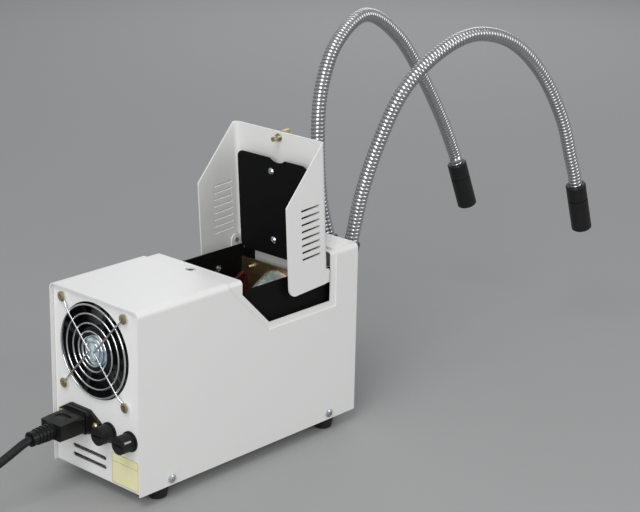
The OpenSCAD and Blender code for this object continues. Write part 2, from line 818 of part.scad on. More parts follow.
module door_thumb_screw() color(brass_zinc) opened() translate([0, door_y + thumb_s, top_z]) {
    translate([0, 0, loose]) cylinder(d = thumb_head_d - 2, h = thumb_collar_h);
    translate([0, 0, loose + thumb_collar_h]) knurled(thumb_head_d, thumb_head_h, thumb_flutes, flute_d);
    translate([0, 0, -sheet_t - thumb_reach]) cylinder(d = thumb_d, h = thumb_reach + sheet_t + loose);
    translate([0, 0, -sheet_t - loose - thumb_clip_t]) cylinder(d = thumb_clip_d, h = thumb_clip_t);
}

module door_nut() color(bare_steel)
    translate([0, door_y + thumb_s, top_z - joggle - sheet_t - door_nut_t]) difference() {
        cylinder(d = door_nut_d, h = door_nut_t, $fn = 6);
        translate([0, 0, -eps]) cylinder(d = thumb_d + 2 * thumb_play, h = door_nut_t + 2 * eps);
    }

// ---- Lamp compartment ----------------------------------------------------------------------

module lamp_compartment() color(black_paint) {
    outer = comp_w / 2 + inner_t;
    difference() {
        union() {
            both_sides() plate_x(comp_w / 2, outer) polygon([[comp_front_y, comp_z],
                [comp_rear_y - comp_leg_l, comp_z], [comp_rear_y - comp_leg_l, deck_z], [comp_rear_y, deck_z],
                [comp_rear_y, comp_top_z], [comp_front_y + comp_relief_l, comp_top_z],
                [comp_front_y + comp_relief_l, comp_relief_z], [comp_front_y, comp_relief_z]]);
            translate([-outer, comp_front_y, comp_z]) cube([2 * outer, comp_rear_y - comp_front_y, inner_t]);
        }
        both_sides() translate([0, comp_screw[1], comp_screw[2]])
            rod_x(m3 + 2 * drill, comp_w / 2 - eps, outer + eps);
    }
}

module compartment_screws() color(bare_steel) both_sides() translate(comp_screw)
    rotate([0, -90, 0]) pan_screw(m3, comp_screw_l, m3_head_d, comp_head_h);

module front_bulkhead() color([0.8, 0.8, 0.78]) difference() {
    plate_y(comp_front_y - sheet_t, comp_front_y) translate([-comp_w / 2 - inner_t, deck_z])
        square([comp_w + 2 * inner_t, comp_relief_z - deck_z]);
    translate([0, 0, light_z]) rod_y(beam_hole_d, comp_front_y - sheet_t - eps, comp_front_y + eps);
    both_sides() translate([foot_gauge / 2, 0, deck_z])
        rod_y(foot_notch_d, comp_front_y - sheet_t - eps, comp_front_y + eps);
    plate_y(comp_front_y - sheet_t - eps, comp_front_y + eps) translate([-switch_x, control_z])
        square(terminal_window, center = true);
}

module lamp_bracket() color([0.62, 0.56, 0.45]) difference() {
    union() {
        plate_y(lamp_plate_y, lamp_plate_y + sheet_t) translate([-comp_w / 2, comp_z + inner_t])
            square([comp_w, lamp_plate_top - comp_z - inner_t]);
        plate_y(lamp_plate_y, lamp_plate_y + lamp_foot_l)
            translate([lamp_foot_in - comp_w / 2, comp_z + inner_t])
                square([comp_w - 2 * lamp_foot_in, sheet_t]);
    }
    translate([0, 0, light_z]) rod_y(lamp_d - 2 * lamp_rim, lamp_plate_y - eps, lamp_plate_y + sheet_t + eps);
    translate([bracket_screw[0], 0, bracket_screw[1]])
        rod_y(m3 + 2 * drill, lamp_plate_y - eps, lamp_plate_y + sheet_t + eps);
}

module lamp_bracket_screw() color(bare_steel) translate([bracket_screw[0], lamp_plate_y, bracket_screw[1]])
    rotate([90, 0, 0]) pan_screw(m3, bracket_screw_l, m3_head_d, m3_head_h);

// One side of the bowl, a parabola from its open end to the neck
function bowl(neck_r, from, to, step) = let (rise = (lamp_d - lamp_neck_d) / 2 - lamp_rim_w)
    [for (i = [from:step:to]) let (q = i / bowl_steps) [neck_r + rise * sqrt(1 - q), lamp_depth * q]];

module lamp_reflector() color([0.75, 0.8, 0.88]) translate([0, lamp_plate_y, light_z]) rotate([-90, 0, 0])
    rotate_extrude() polygon(concat(
        [[lamp_d / 2, -lamp_rim], [lamp_d / 2, 0]], bowl(lamp_neck_d / 2, 0, bowl_steps, 1),
        bowl(lamp_neck_d / 2 - lamp_shell_t, bowl_steps, 1, -1),
        [[lamp_d / 2 - lamp_rim_w - lamp_shell_t, -lamp_rim]]));

module lamp_capsule() color([0.9, 0.92, 0.95]) translate([0, lamp_plate_y, light_z]) rotate([-90, 0, 0])
    translate([0, 0, capsule_start]) {
        cylinder(d = capsule_d, h = lamp_depth - capsule_start + lamp_base_l / 2);
        sphere(d = capsule_d);
    }

module lamp_socket() color([0.88, 0.87, 0.82]) difference() {
    plate_y(lamp_plate_y + lamp_depth, lamp_plate_y + lamp_depth + socket_l)
        translate([0, light_z]) round_rect(socket_w, socket_h, socket_r);
    translate([0, 0, light_z]) rod_y(capsule_d + 2 * slip, lamp_plate_y + lamp_depth - eps,
        lamp_plate_y + lamp_depth + lamp_base_l / 2);
}

// ---- Fan -----------------------------------------------------------------------------------

module at_fan() translate([fan_x, 0, fan_z]) children();

// Puts a piece at each of the fan's screws
module at_fan_screws() for (x = [-1, 1], z = [-1, 1])
    translate([x * fan_pitch / 2, 0, z * fan_pitch / 2]) children();

module fan_frame() color(black_plastic) at_fan() difference() {
    union() {
        plate_y(fan_front_y, panel_in_y) difference() {
            round_rect(fan_w, fan_w, fan_corner_r);
            circle(d = fan_bore_d);
        }
        rod_y(fan_hub_d, panel_in_y - stator_t, panel_in_y);
        plate_y(panel_in_y - strut_t, panel_in_y) for (a = [0:90:270]) rotate(a + strut_turn)
            translate([0, -strut_w / 2]) square([fan_bore_d / 2 + eps, strut_w]);
    }
    at_fan_screws() rod_y(fan_screw_d + 2 * drill, fan_front_y - eps, panel_in_y + eps);
    rod_y(fan_shaft_d + 2 * slip, panel_in_y - stator_t - eps, panel_in_y - fan_shaft_stop);
}

module fan_rotor() color(black_plastic) at_fan() {
    back = panel_in_y - stator_t - rotor_gap;
    rod_y(fan_hub_d - 2, back - rotor_l, back);
    rod_y(fan_shaft_d, back - eps, panel_in_y - fan_shaft_stop - loose);
    translate([0, back - 1, 0]) rotate([90, 0, 0]) for (i = [0:blade_n - 1]) rotate(i * 360 / blade_n)
        linear_extrude(rotor_l - 2, twist = blade_twist, slices = 6, segments = 4)
            translate([fan_hub_d / 2 - blade_root, -blade_t / 2])
                square([fan_bore_d / 2 - blade_tip_gap - fan_hub_d / 2 + blade_root, blade_t]);
}

// A straight piece of wire between two points
module wire(a, b, d) {
    aim = unit(b - a);
    translate(a) rotate([0, acos(aim[2]), atan2(aim[1], aim[0])]) cylinder(d = d, h = norm(b - a));
}

// Rings held by two bent wires, each of which joins the upper and the lower screw of one side
module fan_guard() color(bare_steel) at_fan() {
    for (r = guard_rings) translate([0, guard_y, 0]) rotate([90, 0, 0])
        rotate_extrude() translate([r, 0]) circle(d = wire_d);
    difference() {
        union() {
            for (x = [-1, 1], z = [-1, 1]) {
                bend = [x * guard_bend_x, guard_arm_y, 0];
                eye = [x * fan_pitch / 2, guard_arm_y, z * fan_pitch / 2];
                knee = eye + guard_knee * (bend - eye);
                foot = eye + guard_foot * (bend - eye);
                wire(bend, knee, wire_d);
                wire(knee, [foot[0], (panel_y + guard_eye_y) / 2, foot[2]], guard_foot_d);
            }
            at_fan_screws() rod_y(guard_eye_d, panel_y, guard_eye_y);
        }
        at_fan_screws() rod_y(fan_screw_d + 2 * drill, panel_y - eps, guard_arm_y + wire_d);
        at_fan_screws() rod_y(fan_screw_head_d + 2 * drill, guard_eye_y, guard_arm_y + wire_d);
    }
}

module fan_screws() color(brass_zinc) at_fan() at_fan_screws() translate([0, guard_eye_y, 0])
    rotate([-90, 0, 0]) pan_screw(fan_screw_d, guard_eye_y - fan_front_y, fan_screw_head_d, fan_screw_head_h);

// ---- Rear fittings -------------------------------------------------------------------------

module at_inlet() translate([inlet_x, 0, inlet_z]) children();

// The flange's six-sided outline, its slanted edges moved in by a margin
module inlet_outline(margin) {
    w = inlet_flange_w / 2;
    h = inlet_flange_h / 2;
    slant = atan2(h - inlet_side_h / 2, w - inlet_top_w / 2);
    dx = margin * sin(slant);
    dz = margin * cos(slant);
    corner = [[w - dx, inlet_side_h / 2 - dz], [inlet_top_w / 2 - dx, h - dz]];
    polygon([for (s = [[1, 1], [-1, 1], [-1, -1], [1, -1]], i = s[0] * s[1] > 0 ? [0, 1] : [1, 0])
        [s[0] * corner[i][0], s[1] * corner[i][1]]]);
}

// The inlet's body behind its flange, grown by a margin
module inlet_body(margin) intersection() {
    inlet_outline(inlet_body_in - margin);
    square([inlet_body_w + 2 * margin, inlet_body_h + 2 * margin], center = true);
}

module power_inlet() color(black_plastic) at_inlet() difference() {
    union() {
        plate_y(panel_y, panel_y + inlet_flange_t) difference() {
            inlet_outline(0);
            for (x = [-1, 1]) translate([x * inlet_screw_pitch / 2, 0]) circle(m3 / 2 + drill);
        }
        plate_y(panel_y - inlet_body_l, panel_y) inlet_body(0);
        plate_y(panel_y, inlet_rim_y) round_rect(inlet_rim_w, inlet_rim_h, inlet_rim_r);
    }
    difference() {
        plate_y(inlet_cup_y, inlet_rim_y + eps) round_rect(inlet_cup_w, inlet_cup_h, inlet_cup_r);
        plate_y(inlet_cup_y - eps, inlet_cup_y + inlet_pin_l)
            for (p = inlet_pins) translate(p) square([pin_w, pin_h], center = true);
    }
}

module inlet_screws() color(brass_zinc) at_inlet() for (x = [-1, 1])
    translate([x * inlet_screw_pitch / 2, panel_y + inlet_flange_t, 0]) rotate([-90, 0, 0])
        pan_screw(m3, inlet_screw_l, m3_head_d, m3_head_h);

module at_fuse(i) translate([fuse_x - i * fuse_pitch, 0, fuse_z]) children();

module fuse_holders() color(black_plastic) for (i = [0, 1]) at_fuse(i) difference() {
    front = panel_y + fuse_flange_t;
    union() {
        rod_y(fuse_flange_d, panel_y, front);
        rod_y(fuse_body_d, panel_in_y - fuse_body_l, panel_y);
        rod_y(fuse_nut_d, panel_in_y - fuse_nut_t, panel_in_y);
    }
    rod_y(fuse_stem_d + 2 * slip, front - fuse_stem_l - loose, front + eps);
}

module fuse_cap(i) color(black_plastic) at_fuse(i) {
    y0 = panel_y + fuse_flange_t;
    rod_y(fuse_stem_d, y0 - fuse_stem_l, y0 + 1);
    difference() {
        translate([0, y0 + loose, 0]) rotate([-90, 0, 0])
            knurled(fuse_cap_d, fuse_cap_l, fuse_cap_flutes, fuse_flute_d);
        translate([0, y0 + loose + fuse_cap_l, 0]) cube(fuse_slot, center = true);
    }
}

module fuse_cap_right() fuse_cap(0);

module fuse_cap_left() fuse_cap(1);

module rear_label() color([0.93, 0.92, 0.7])
    plate_y(panel_y, panel_y + label_t) translate([label_x, label_z]) round_rect(label_w, label_h, label_r);

// ---- Inside --------------------------------------------------------------------------------

module transformer_core() color([0.35, 0.35, 0.37]) plate_y(core_y, core_y + core_t) difference() {
    translate([-core_w / 2, deck_z]) square([core_w, core_h]);
    for (s = [-1, 1]) translate([s * (core_leg + core_window) / 2, deck_z + core_h / 2])
        square([core_window, core_h - core_leg], center = true);
}

module transformer_coil() color([0.75, 0.55, 0.2]) difference() {
    plate_y(core_y - coil_proud, core_y + core_t + coil_proud) translate([0, deck_z + core_h / 2])
        round_rect(core_leg + 2 * core_window - 1, core_h - core_leg - 1, coil_corner_r);
    plate_y(core_y - coil_play, core_y + core_t + coil_play) translate([0, deck_z + core_h / 2])
        square([core_leg + 2 * coil_play, core_h], center = true);
}

module control_board() color([0.1, 0.4, 0.2]) {
    face_z = board_z + board_t;
    translate([-board_w / 2, board_y - board_l / 2, board_z]) cube([board_w, board_l, board_t]);
    for (x = [-1, 1], y = [-1, 1])
        translate([x * (board_w / 2 - post_in), board_y + y * (board_l / 2 - post_in), deck_z])
            cylinder(d = post_d, h = board_z - deck_z);
    translate([choke_in - board_w / 2, board_y - choke[1] / 2, face_z]) cube(choke);
    for (x = cap_xs) translate([x, board_y + cap_y, face_z]) cylinder(d = cap_d, h = cap_h);
    translate([sink_at[0], board_y + sink_at[1], face_z]) {
        for (i = [0:sink_fins - 1]) translate([i * sink_pitch, 0, 0]) cube(sink);
        cube([(sink_fins - 1) * sink_pitch + sink[0], sink[1], sink_base_t]);
    }
}

// ---- Front fittings ------------------------------------------------------------------------

module at_knob() translate([knob_x, 0, control_z]) children();

module potentiometer() color([0.55, 0.56, 0.58]) at_knob() difference() {
    union() {
        rod_y(pot_d, -panel_in_y, -panel_in_y + pot_l);
        rod_y(pot_bush_d, -panel_y - pot_bush_l, -panel_in_y + eps);
        translate([0, -panel_y, 0]) rotate([90, 0, 0]) cylinder(d = pot_nut_d, h = pot_nut_t, $fn = 6);
    }
    rod_y(shaft_d + 2 * slip, -panel_y - pot_bush_l - eps, -panel_in_y + pot_l - pot_wall);
}

module knob_shaft() color(bare_steel) at_knob()
    rod_y(shaft_d, shaft_front_y, -panel_in_y + pot_l - pot_wall - loose);

module intensity_knob() color(black_plastic) at_knob() {
    back = -panel_y - knob_gap;
    front = back - knob_h;
    difference() {
        union() {
            translate([0, back - knob_skirt, 0]) rotate([90, 0, 0])
                knurled(knob_d - 2 * knob_step, knob_h - knob_skirt - knob_step, knob_flutes, knob_flute_d);
            rod_y(knob_d, back - knob_skirt, back);
            translate([0, front + knob_step, 0]) rotate([90, 0, 0])
                cylinder(d1 = knob_d - 4 * knob_step, d2 = knob_d - 6 * knob_step, h = knob_step);
        }
        rod_y(knob_recess_d, back - pot_bush_l, back + eps);
        rod_y(shaft_d + 2 * slip, shaft_front_y - loose, back + eps);
        translate([0, front, knob_d / 2 - 2 * knob_mark[2] / 3]) cube(knob_mark, center = true);
    }
}

module at_switch() translate([-switch_x, 0, control_z]) children();

module switch_housing() color(black_plastic) at_switch() difference() {
    union() {
        plate_y(-panel_y - bezel_t, -panel_y) round_rect(bezel_w, bezel_h, 2);
        plate_y(-panel_y, -panel_in_y + switch_l) round_rect(switch_w, switch_h, 1);
        for (z = terminal_zs) translate([0, -panel_in_y + switch_l + terminal[1] / 2 - eps, z])
            cube(terminal, center = true);
    }
    plate_y(-panel_y - bezel_t - eps, -panel_y - bezel_t + rocker_cave_l)
        square([rocker_cave_w, rocker_cave_h], center = true);
    translate([0, rocker_pivot_y, 0]) rod_x(rocker_pin_d + 2 * slip, -rocker_w / 2 - rocker_pin_l - loose,
        rocker_w / 2 + rocker_pin_l + loose);
}

// The rocker is drawn level about its pivot and rests on one stop
module power_rocker() color([0.12, 0.12, 0.12]) at_switch() translate([0, rocker_pivot_y, 0])
    rotate([-rocker_tilt / 2, 0, 0]) {
        plate_x(-rocker_w / 2, rocker_w / 2) polygon([[-rocker_crest, -rocker_h / 2], [-rocker_dip, 0],
            [-rocker_crest, rocker_h / 2], [-rocker_back, rocker_h / 2], [rocker_back, rocker_belly],
            [rocker_back, -rocker_belly], [-rocker_back, -rocker_h / 2]]);
        rod_x(rocker_pin_d, -rocker_w / 2 - rocker_pin_l, rocker_w / 2 + rocker_pin_l);
    }

// ---- Light guide ---------------------------------------------------------------------------

module light_port() color(bare_steel) translate([0, 0, light_z]) difference() {
    union() {
        rod_y(port_d, port_front_y, -panel_y);
        rod_y(port_neck_d, -panel_y - eps, port_rear_y);
        rod_y(port_nut_d, -panel_in_y, -panel_in_y + port_nut_t);
    }
    rod_y(ferrule_d + 2 * slip, port_front_y - eps, port_rear_y + eps);
    translate([0, lock_y, 0]) cylinder(d = lock_d + 2 * slip, h = port_d);
}

module port_lock_screw() color(bare_steel) translate([0, lock_y, light_z]) {
    tip = ferrule_d / 2 + loose;
    translate([0, 0, tip]) cylinder(d = lock_d, h = port_d / 2 + 2 * lock_stand - tip);
    translate([0, 0, port_d / 2 + lock_stand]) knurled(lock_head_d, lock_head_h, thumb_flutes, flute_d);
}

// Puts +Z along a gooseneck's root
module at_root(side) translate([side * root_x, root_y, root_z]) rotate([0, side * root_lean, 0]) children();

module guide_connector() color(black_plastic) difference() {
    union() {
        translate([0, 0, light_z]) {
            rod_y(head_d, head_rear_y - head_l + head_dome, head_rear_y);
            translate([0, head_rear_y - head_l + head_dome, 0]) rotate([90, 0, 0])
                cylinder(d1 = head_d, d2 = head_d - 2 * head_dome, h = head_dome);
            rod_y(ferrule_d, head_rear_y, head_rear_y + ferrule_l);
        }
        for (side = [-1, 1]) at_root(side) translate([0, 0, -sleeve_down])
            cylinder(d = sleeve_d, h = sleeve_down + sleeve_up);
    }
    for (side = [-1, 1]) at_root(side) cylinder(d = neck_d + 2 * neck_slip, h = sleeve_up + eps);
    translate([0, head_rear_y + ferrule_l, light_z]) rod_y(ferrule_window_d, -1, eps);
}

// The run of a gooseneck's centre, straight in its sleeve and in its tip
function neck_run(side, bends, tip, aim) = let (
        root = [side * root_x, root_y, root_z],
        up = [side * sin(root_lean), 0, cos(root_lean)],
        down = unit(aim))
    concat([root], spline(concat([root + sleeve_up * 0.5 * up, root + (sleeve_up + 2) * up], bends,
        [tip - neck_seat * down, tip - neck_guide * down, tip + neck_guide * down]), spline_steps),
        [tip + neck_seat * down]);

function neck_rings(run) = let (dist = distances(run), end = dist[len(dist) - 1], n = 2 * rib_n)
    concat(
        [for (i = [0:n - 1]) let (s = end * i / (n - 1))
            ring(point_at(run, dist, s), heading_at(run, dist, s), [1, 0, 0],
                (i % 2 == 0 ? neck_valley : neck_d) / 2, sweep_sides)],
        [for (i = [bore_rings:-1:0]) let (s = end * i / bore_rings)
            ring(point_at(run, dist, s), heading_at(run, dist, s), [1, 0, 0], neck_bore / 2, sweep_sides)]);

module gooseneck(run) color([0.8, 0.81, 0.83]) hollow_loft(neck_rings(run));

module fibre_bundle(run, aim) color([0.85, 0.85, 0.8]) {
    full = concat(run, [run[len(run) - 1] + (tip_l - neck_seat - tip_face_l) * unit(aim)]);
    dist = distances(full);
    end = dist[len(dist) - 1];
    loft([for (i = [0:bundle_rings]) let (s = end * i / bundle_rings)
        ring(point_at(full, dist, s), heading_at(full, dist, s), [1, 0, 0], bundle_d / 2, sweep_sides)]);
}

// Puts +Z along a tip, from its upper end to its face
module at_tip(tip, aim) {
    d = unit(aim);
    translate(tip) rotate([0, acos(d[2]), atan2(d[1], d[0])]) children();
}

module light_tip(tip, aim) color(black_plastic) at_tip(tip, aim) difference() {
    r = tip_d / 2;
    rotate_extrude() polygon([[bundle_hole_d / 2, neck_seat + slip],
        [neck_d / 2 + neck_slip, neck_seat + slip], [neck_d / 2 + neck_slip, 0],
        [r - tip_edge, 0], [r, tip_edge], [r, tip_groove_at],
        [r - tip_groove_in, tip_groove_at], [r - tip_groove_in, tip_groove_at + tip_groove_t],
        [r, tip_groove_at + tip_groove_t], [r, tip_l - tip_edge], [r - tip_edge, tip_l],
        [tip_face_d / 2, tip_l], [tip_face_d / 2, tip_l - tip_face_l],
        [bundle_hole_d / 2, tip_l - tip_face_l]]);
}

left_run = neck_run(-1, left_bends, left_tip, left_aim);
right_run = neck_run(1, right_bends, right_tip, right_aim);

module gooseneck_left() gooseneck(left_run);

module gooseneck_right() gooseneck(right_run);

module fibre_bundle_left() fibre_bundle(left_run, left_aim);

module fibre_bundle_right() fibre_bundle(right_run, right_aim);

module tip_left() light_tip(left_tip, left_aim);

module tip_right() light_tip(right_tip, right_aim);

// ---- Mains cord ----------------------------------------------------------------------------

module cord_connector() color(black_plastic) difference() {
    union() {
        at_inlet() plate_y(c13_y - nose_l, c13_y + eps) round_rect(nose_w, nose_h, inlet_cup_r);
        intersection() {
            at_inlet() plate_y(c13_y, c13_rear_y) translate([0, (c13_top[0] + c13_low[1]) / 2])
                round_rect(c13_w, c13_top[0] - c13_low[1], c13_r);
            plate_x(inlet_x - c13_w, inlet_x + c13_w) polygon([[c13_y, inlet_z + c13_top[0]],
                [c13_rear_y, inlet_z + c13_top[1]], [c13_rear_y, inlet_z + c13_low[1]],
                [c13_y, inlet_z + c13_low[0]]]);
            linear_extrude(top_z) polygon([[inlet_x - c13_w / 2, c13_y], [inlet_x + c13_w / 2, c13_y],
                [inlet_x + c13_rear_w / 2, c13_rear_y], [inlet_x - c13_rear_w / 2, c13_rear_y]]);
        }
        strain_relief();
    }
    at_inlet() for (p = inlet_pins) translate([p[0], 0, p[1]]) plate_y(c13_y - nose_l - eps, c13_y - 1)
        square([pin_w + pin_play, pin_h + pin_play], center = true);
    translate([inlet_x, c13_y + grip_at, inlet_z + c13_top[0] - 2 * grip_depth])
        linear_extrude(grip_depth * 3) stadium(grip_w, grip_h);
}

// A ribbed sleeve from the connector's rear face to the point where the cord leaves it
module strain_relief() {
    root = [inlet_x, c13_rear_y, inlet_z + (c13_top[1] + c13_low[1]) / 2];
    run = cord_exit - root;
    l = norm(run);
    translate(root) rotate([-90 + asin(run[2] / l), 0, 0]) {
        translate([0, 0, -eps]) cylinder(d1 = relief_d[0], d2 = relief_d[1], h = l + eps);
        translate([0, 0, l - relief_collar_l]) cylinder(d = relief_collar_d, h = relief_collar_l);
        for (i = [0:relief_ribs - 1]) {
            at = i * relief_rib_step + relief_rib_t / 2;
            d = relief_d[0] - at * (relief_d[0] - relief_d[1]) / l;
            translate([0, 0, at]) cylinder(d = d + 2 * relief_rib_h, h = relief_rib_t);
        }
    }
}

// The cord's free stretch
module cord_run() color(black_plastic) {
    run = spline(cord_route, 3);
    dist = distances(run);
    loft([for (i = [0:len(run) - 1]) let (dir = i == 0 ? [0, cos(cord_leave), -sin(cord_leave)]
            : i == len(run) - 1 ? [0, 1, 0] : heading_at(run, dist, dist[i]))
        ring(run[i], dir, [1, 0, 0], cord_d / 2, sweep_sides)]);
}

// Height and radius of the coil's centre after n turns: it spirals in, climbs and spirals out
function coil_point(n) = let (r = coil_r_min + coil_pitch * abs(n - coil_mid), a = 180 - 360 * n,
        climb = min(max((n - coil_mid + 0.25) * 2, 0), 1))
    [coil_c[0] + r * cos(a), coil_c[1] + r * sin(a),
     coil_start[2] + coil_pitch * climb * climb * (3 - 2 * climb)];

coil_points = [for (i = [0:coil_turns * coil_rings]) coil_point(i / coil_rings)];
coil_end = coil_points[len(coil_points) - 1];
coil_run = concat(coil_points, [coil_end - [0, coil_tail, 0]]);

module cord_coil() color(black_plastic) {
    n = len(coil_run);
    loft([for (i = [0:n - 1]) let (dir = i == 0 ? [0, 1, 0] : i >= n - 2 ? [0, -1, 0]
            : unit(coil_run[i + 1] - coil_run[i - 1]))
        ring(coil_run[i], dir, [0, 0, 1], cord_d / 2, coil_sides)]);
}

// Least distance between turns, measured centre to centre on the coil's points
coil_least = min([for (i = [0:3:len(coil_points) - 1], j = [i + coil_rings / 2:len(coil_points) - 1])
    norm(coil_points[i] - coil_points[j])]) - cord_d;
echo(coil_least_gap = coil_least);
echo(cord_length = distances(spline(cord_route, 3))[3 * (len(cord_route) - 1)]
    + distances(coil_run)[len(coil_run) - 1]);

module cord_tie() color([0.1, 0.1, 0.1]) {
    in_r = coil_r_min - cord_d / 2 - 1;
    out_r = coil_r_out + cord_d / 2 + 1;
    low = coil_start[2] - cord_d / 2 - 0.05;
    high = coil_start[2] + coil_pitch + cord_d / 2 + 0.2;
    translate([coil_c[0], coil_c[1], 0]) plate_x(-tie_w / 2, tie_w / 2) difference() {
        translate([in_r - tie_t, low - tie_t]) square([out_r - in_r + 2 * tie_t, high - low + 2 * tie_t]);
        translate([in_r, low]) square([out_r - in_r, high - low]);
    }
}

// A grounded mains plug on the end of the coil, its blades along -Y
module mains_plug() color(black_plastic) translate([coil_end[0], coil_end[1] - coil_tail, coil_end[2]]) {
    front = -plug_relief_l - plug_l;
    plate_y(front, -plug_relief_l) round_rect(plug_w, plug_h, plug_r);
    translate([0, -plug_relief_l, 0]) rotate([-90, 0, 0])
        cylinder(d1 = plug_relief_d, d2 = cord_d + 2, h = plug_relief_l);
    color(brass_zinc) {
        plate_y(front - plug_blade_l, front) for (x = [-1, 1])
            translate([x * blade_pitch / 2, plug_blade_z]) square(plug_blade, center = true);
        translate([0, 0, plug_pin_z]) rod_y(plug_pin_d, front - plug_pin_l, front);
    }
}

cover();
base_pan();
rear_panel();
front_panel();
feet();
foot_screws();
cover_screws();
hinge_brackets();
lamp_door();
door_hinge_pins();
door_heat_shield();
shield_spacers();
shield_screws();
door_thumb_screw();
door_nut();
lamp_compartment();
front_bulkhead();
compartment_screws();
lamp_bracket();
lamp_bracket_screw();
lamp_reflector();
lamp_capsule();
lamp_socket();
fan_frame();
fan_rotor();
fan_guard();
fan_screws();
power_inlet();
inlet_screws();
fuse_holders();
fuse_cap_left();
fuse_cap_right();
rear_label();
transformer_core();
transformer_coil();
control_board();
potentiometer();
intensity_knob();
knob_shaft();
switch_housing();
power_rocker();
light_port();
port_lock_screw();
guide_connector();
gooseneck_left();
gooseneck_right();
fibre_bundle_left();
fibre_bundle_right();
tip_left();
tip_right();
cord_connector();
cord_run();
cord_coil();
cord_tie();
mains_plug();
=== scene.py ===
import logging
import math
from dataclasses import dataclass, field
from enum import Enum
from typing import Any, Callable, Mapping, Sequence

import bpy
import numpy as np
from mathutils import Matrix, Vector


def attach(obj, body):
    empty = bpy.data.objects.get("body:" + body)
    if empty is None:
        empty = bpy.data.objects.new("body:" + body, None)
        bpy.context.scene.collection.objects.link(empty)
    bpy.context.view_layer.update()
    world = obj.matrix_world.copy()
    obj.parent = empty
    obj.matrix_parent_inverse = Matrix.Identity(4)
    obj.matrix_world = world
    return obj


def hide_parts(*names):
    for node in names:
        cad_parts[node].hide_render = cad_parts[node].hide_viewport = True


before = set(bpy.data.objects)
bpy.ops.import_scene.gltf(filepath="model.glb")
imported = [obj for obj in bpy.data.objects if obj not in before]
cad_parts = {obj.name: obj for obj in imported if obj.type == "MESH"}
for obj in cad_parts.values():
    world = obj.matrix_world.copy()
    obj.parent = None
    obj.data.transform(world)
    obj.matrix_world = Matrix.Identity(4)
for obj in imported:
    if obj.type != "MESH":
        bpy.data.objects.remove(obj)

log = logging.getLogger("illuminator")

MM = 0.001
TURNED_CREASE = 28.0                    # degrees, on turned pieces
BOWED_CREASE = 30.0                     # degrees, on the bowed strip
CHASSIS = "chassis"
GUIDE = "light_guide"
FUSE_LEFT = "fuse_cap_left"

# The arms in millimetres: the bends between the connector and the tip, the tip's upper end and the
# way that it points
LEFT_BENDS = ((-21, -160, 190), (-29, -171, 234), (-37, -190, 275), (-44, -224, 303), (-50, -268, 316),
              (-55.5, -316, 304), (-59, -359, 270), (-62, -391, 224), (-63.5, -408, 182))
LEFT_TIP, LEFT_AIM = (-64.2, -417.6, 155.3), (-0.7, -14.1, -45.4)
RIGHT_BENDS = ((21, -154, 177), (30, -159, 221), (40, -173, 267), (48, -201, 304), (56, -248, 321),
               (64, -302, 294), (69, -345, 250), (74, -384, 201))
RIGHT_TIP, RIGHT_AIM = (77.3, -415.9, 148.4), (-4, -15.5, -45.8)
KNOB_CENTRE = (22, -119.5, 47)          # on the front panel's face

Point = Sequence[float]
Rgb = tuple[float, float, float]


# ---- Shader maths ---------------------------------------------------------------------------


class Sock:
    """A shader value: a node's output socket, with Python's operators as Math nodes."""

    def __init__(self, shade: "Shade", socket: bpy.types.NodeSocket) -> None:
        """Wraps a socket.

        Args:
            shade: the node tree being built.
            socket: the output socket that this value stands for.
        """
        self.shade = shade
        self.socket = socket

    def _math(self, operation: str, *values: "Sock | float") -> "Sock":
        """Adds one Math node.

        Args:
            operation: the Math node's operation.
            values: its inputs, in order.

        Returns:
            The node's value.
        """
        return self.shade.node("ShaderNodeMath", {"operation": operation}, dict(enumerate(values)))

    def __add__(self, other: "Sock | float") -> "Sock":
        """Self plus other."""
        return self._math("ADD", self, other)

    __radd__ = __add__

    def __sub__(self, other: "Sock | float") -> "Sock":
        """Self minus other."""
        return self._math("SUBTRACT", self, other)

    def __rsub__(self, other: float) -> "Sock":
        """Other minus self."""
        return self._math("SUBTRACT", other, self)

    def __mul__(self, other: "Sock | float") -> "Sock":
        """Self times other."""
        return self._math("MULTIPLY", self, other)

    __rmul__ = __mul__

    def __lt__(self, other: "Sock | float") -> "Sock":
        """1 where self is less than other, else 0."""
        return self._math("LESS_THAN", self, other)

    def __gt__(self, other: "Sock | float") -> "Sock":
        """1 where self is greater than other, else 0."""
        return self._math("GREATER_THAN", self, other)

    def call(self, operation: str, *others: "Sock | float") -> "Sock":
        """A Math node with self as its first input.

        Args:
            operation: the Math node's operation, such as SINE.
            others: the inputs after self.

        Returns:
            The node's value.
        """
        return self._math(operation, self, *others)

    def ramp(self, low: float, high: float) -> "Sock":
        """A smooth step from 0 at low to 1 at high.

        Args:
            low: the value that gives 0.
            high: the value that gives 1.

        Returns:
            The stepped value.
        """
        return self.shade.node(
            "ShaderNodeMapRange", {"interpolation_type": "SMOOTHSTEP"},
            {"Value": self, "From Min": low, "From Max": high})


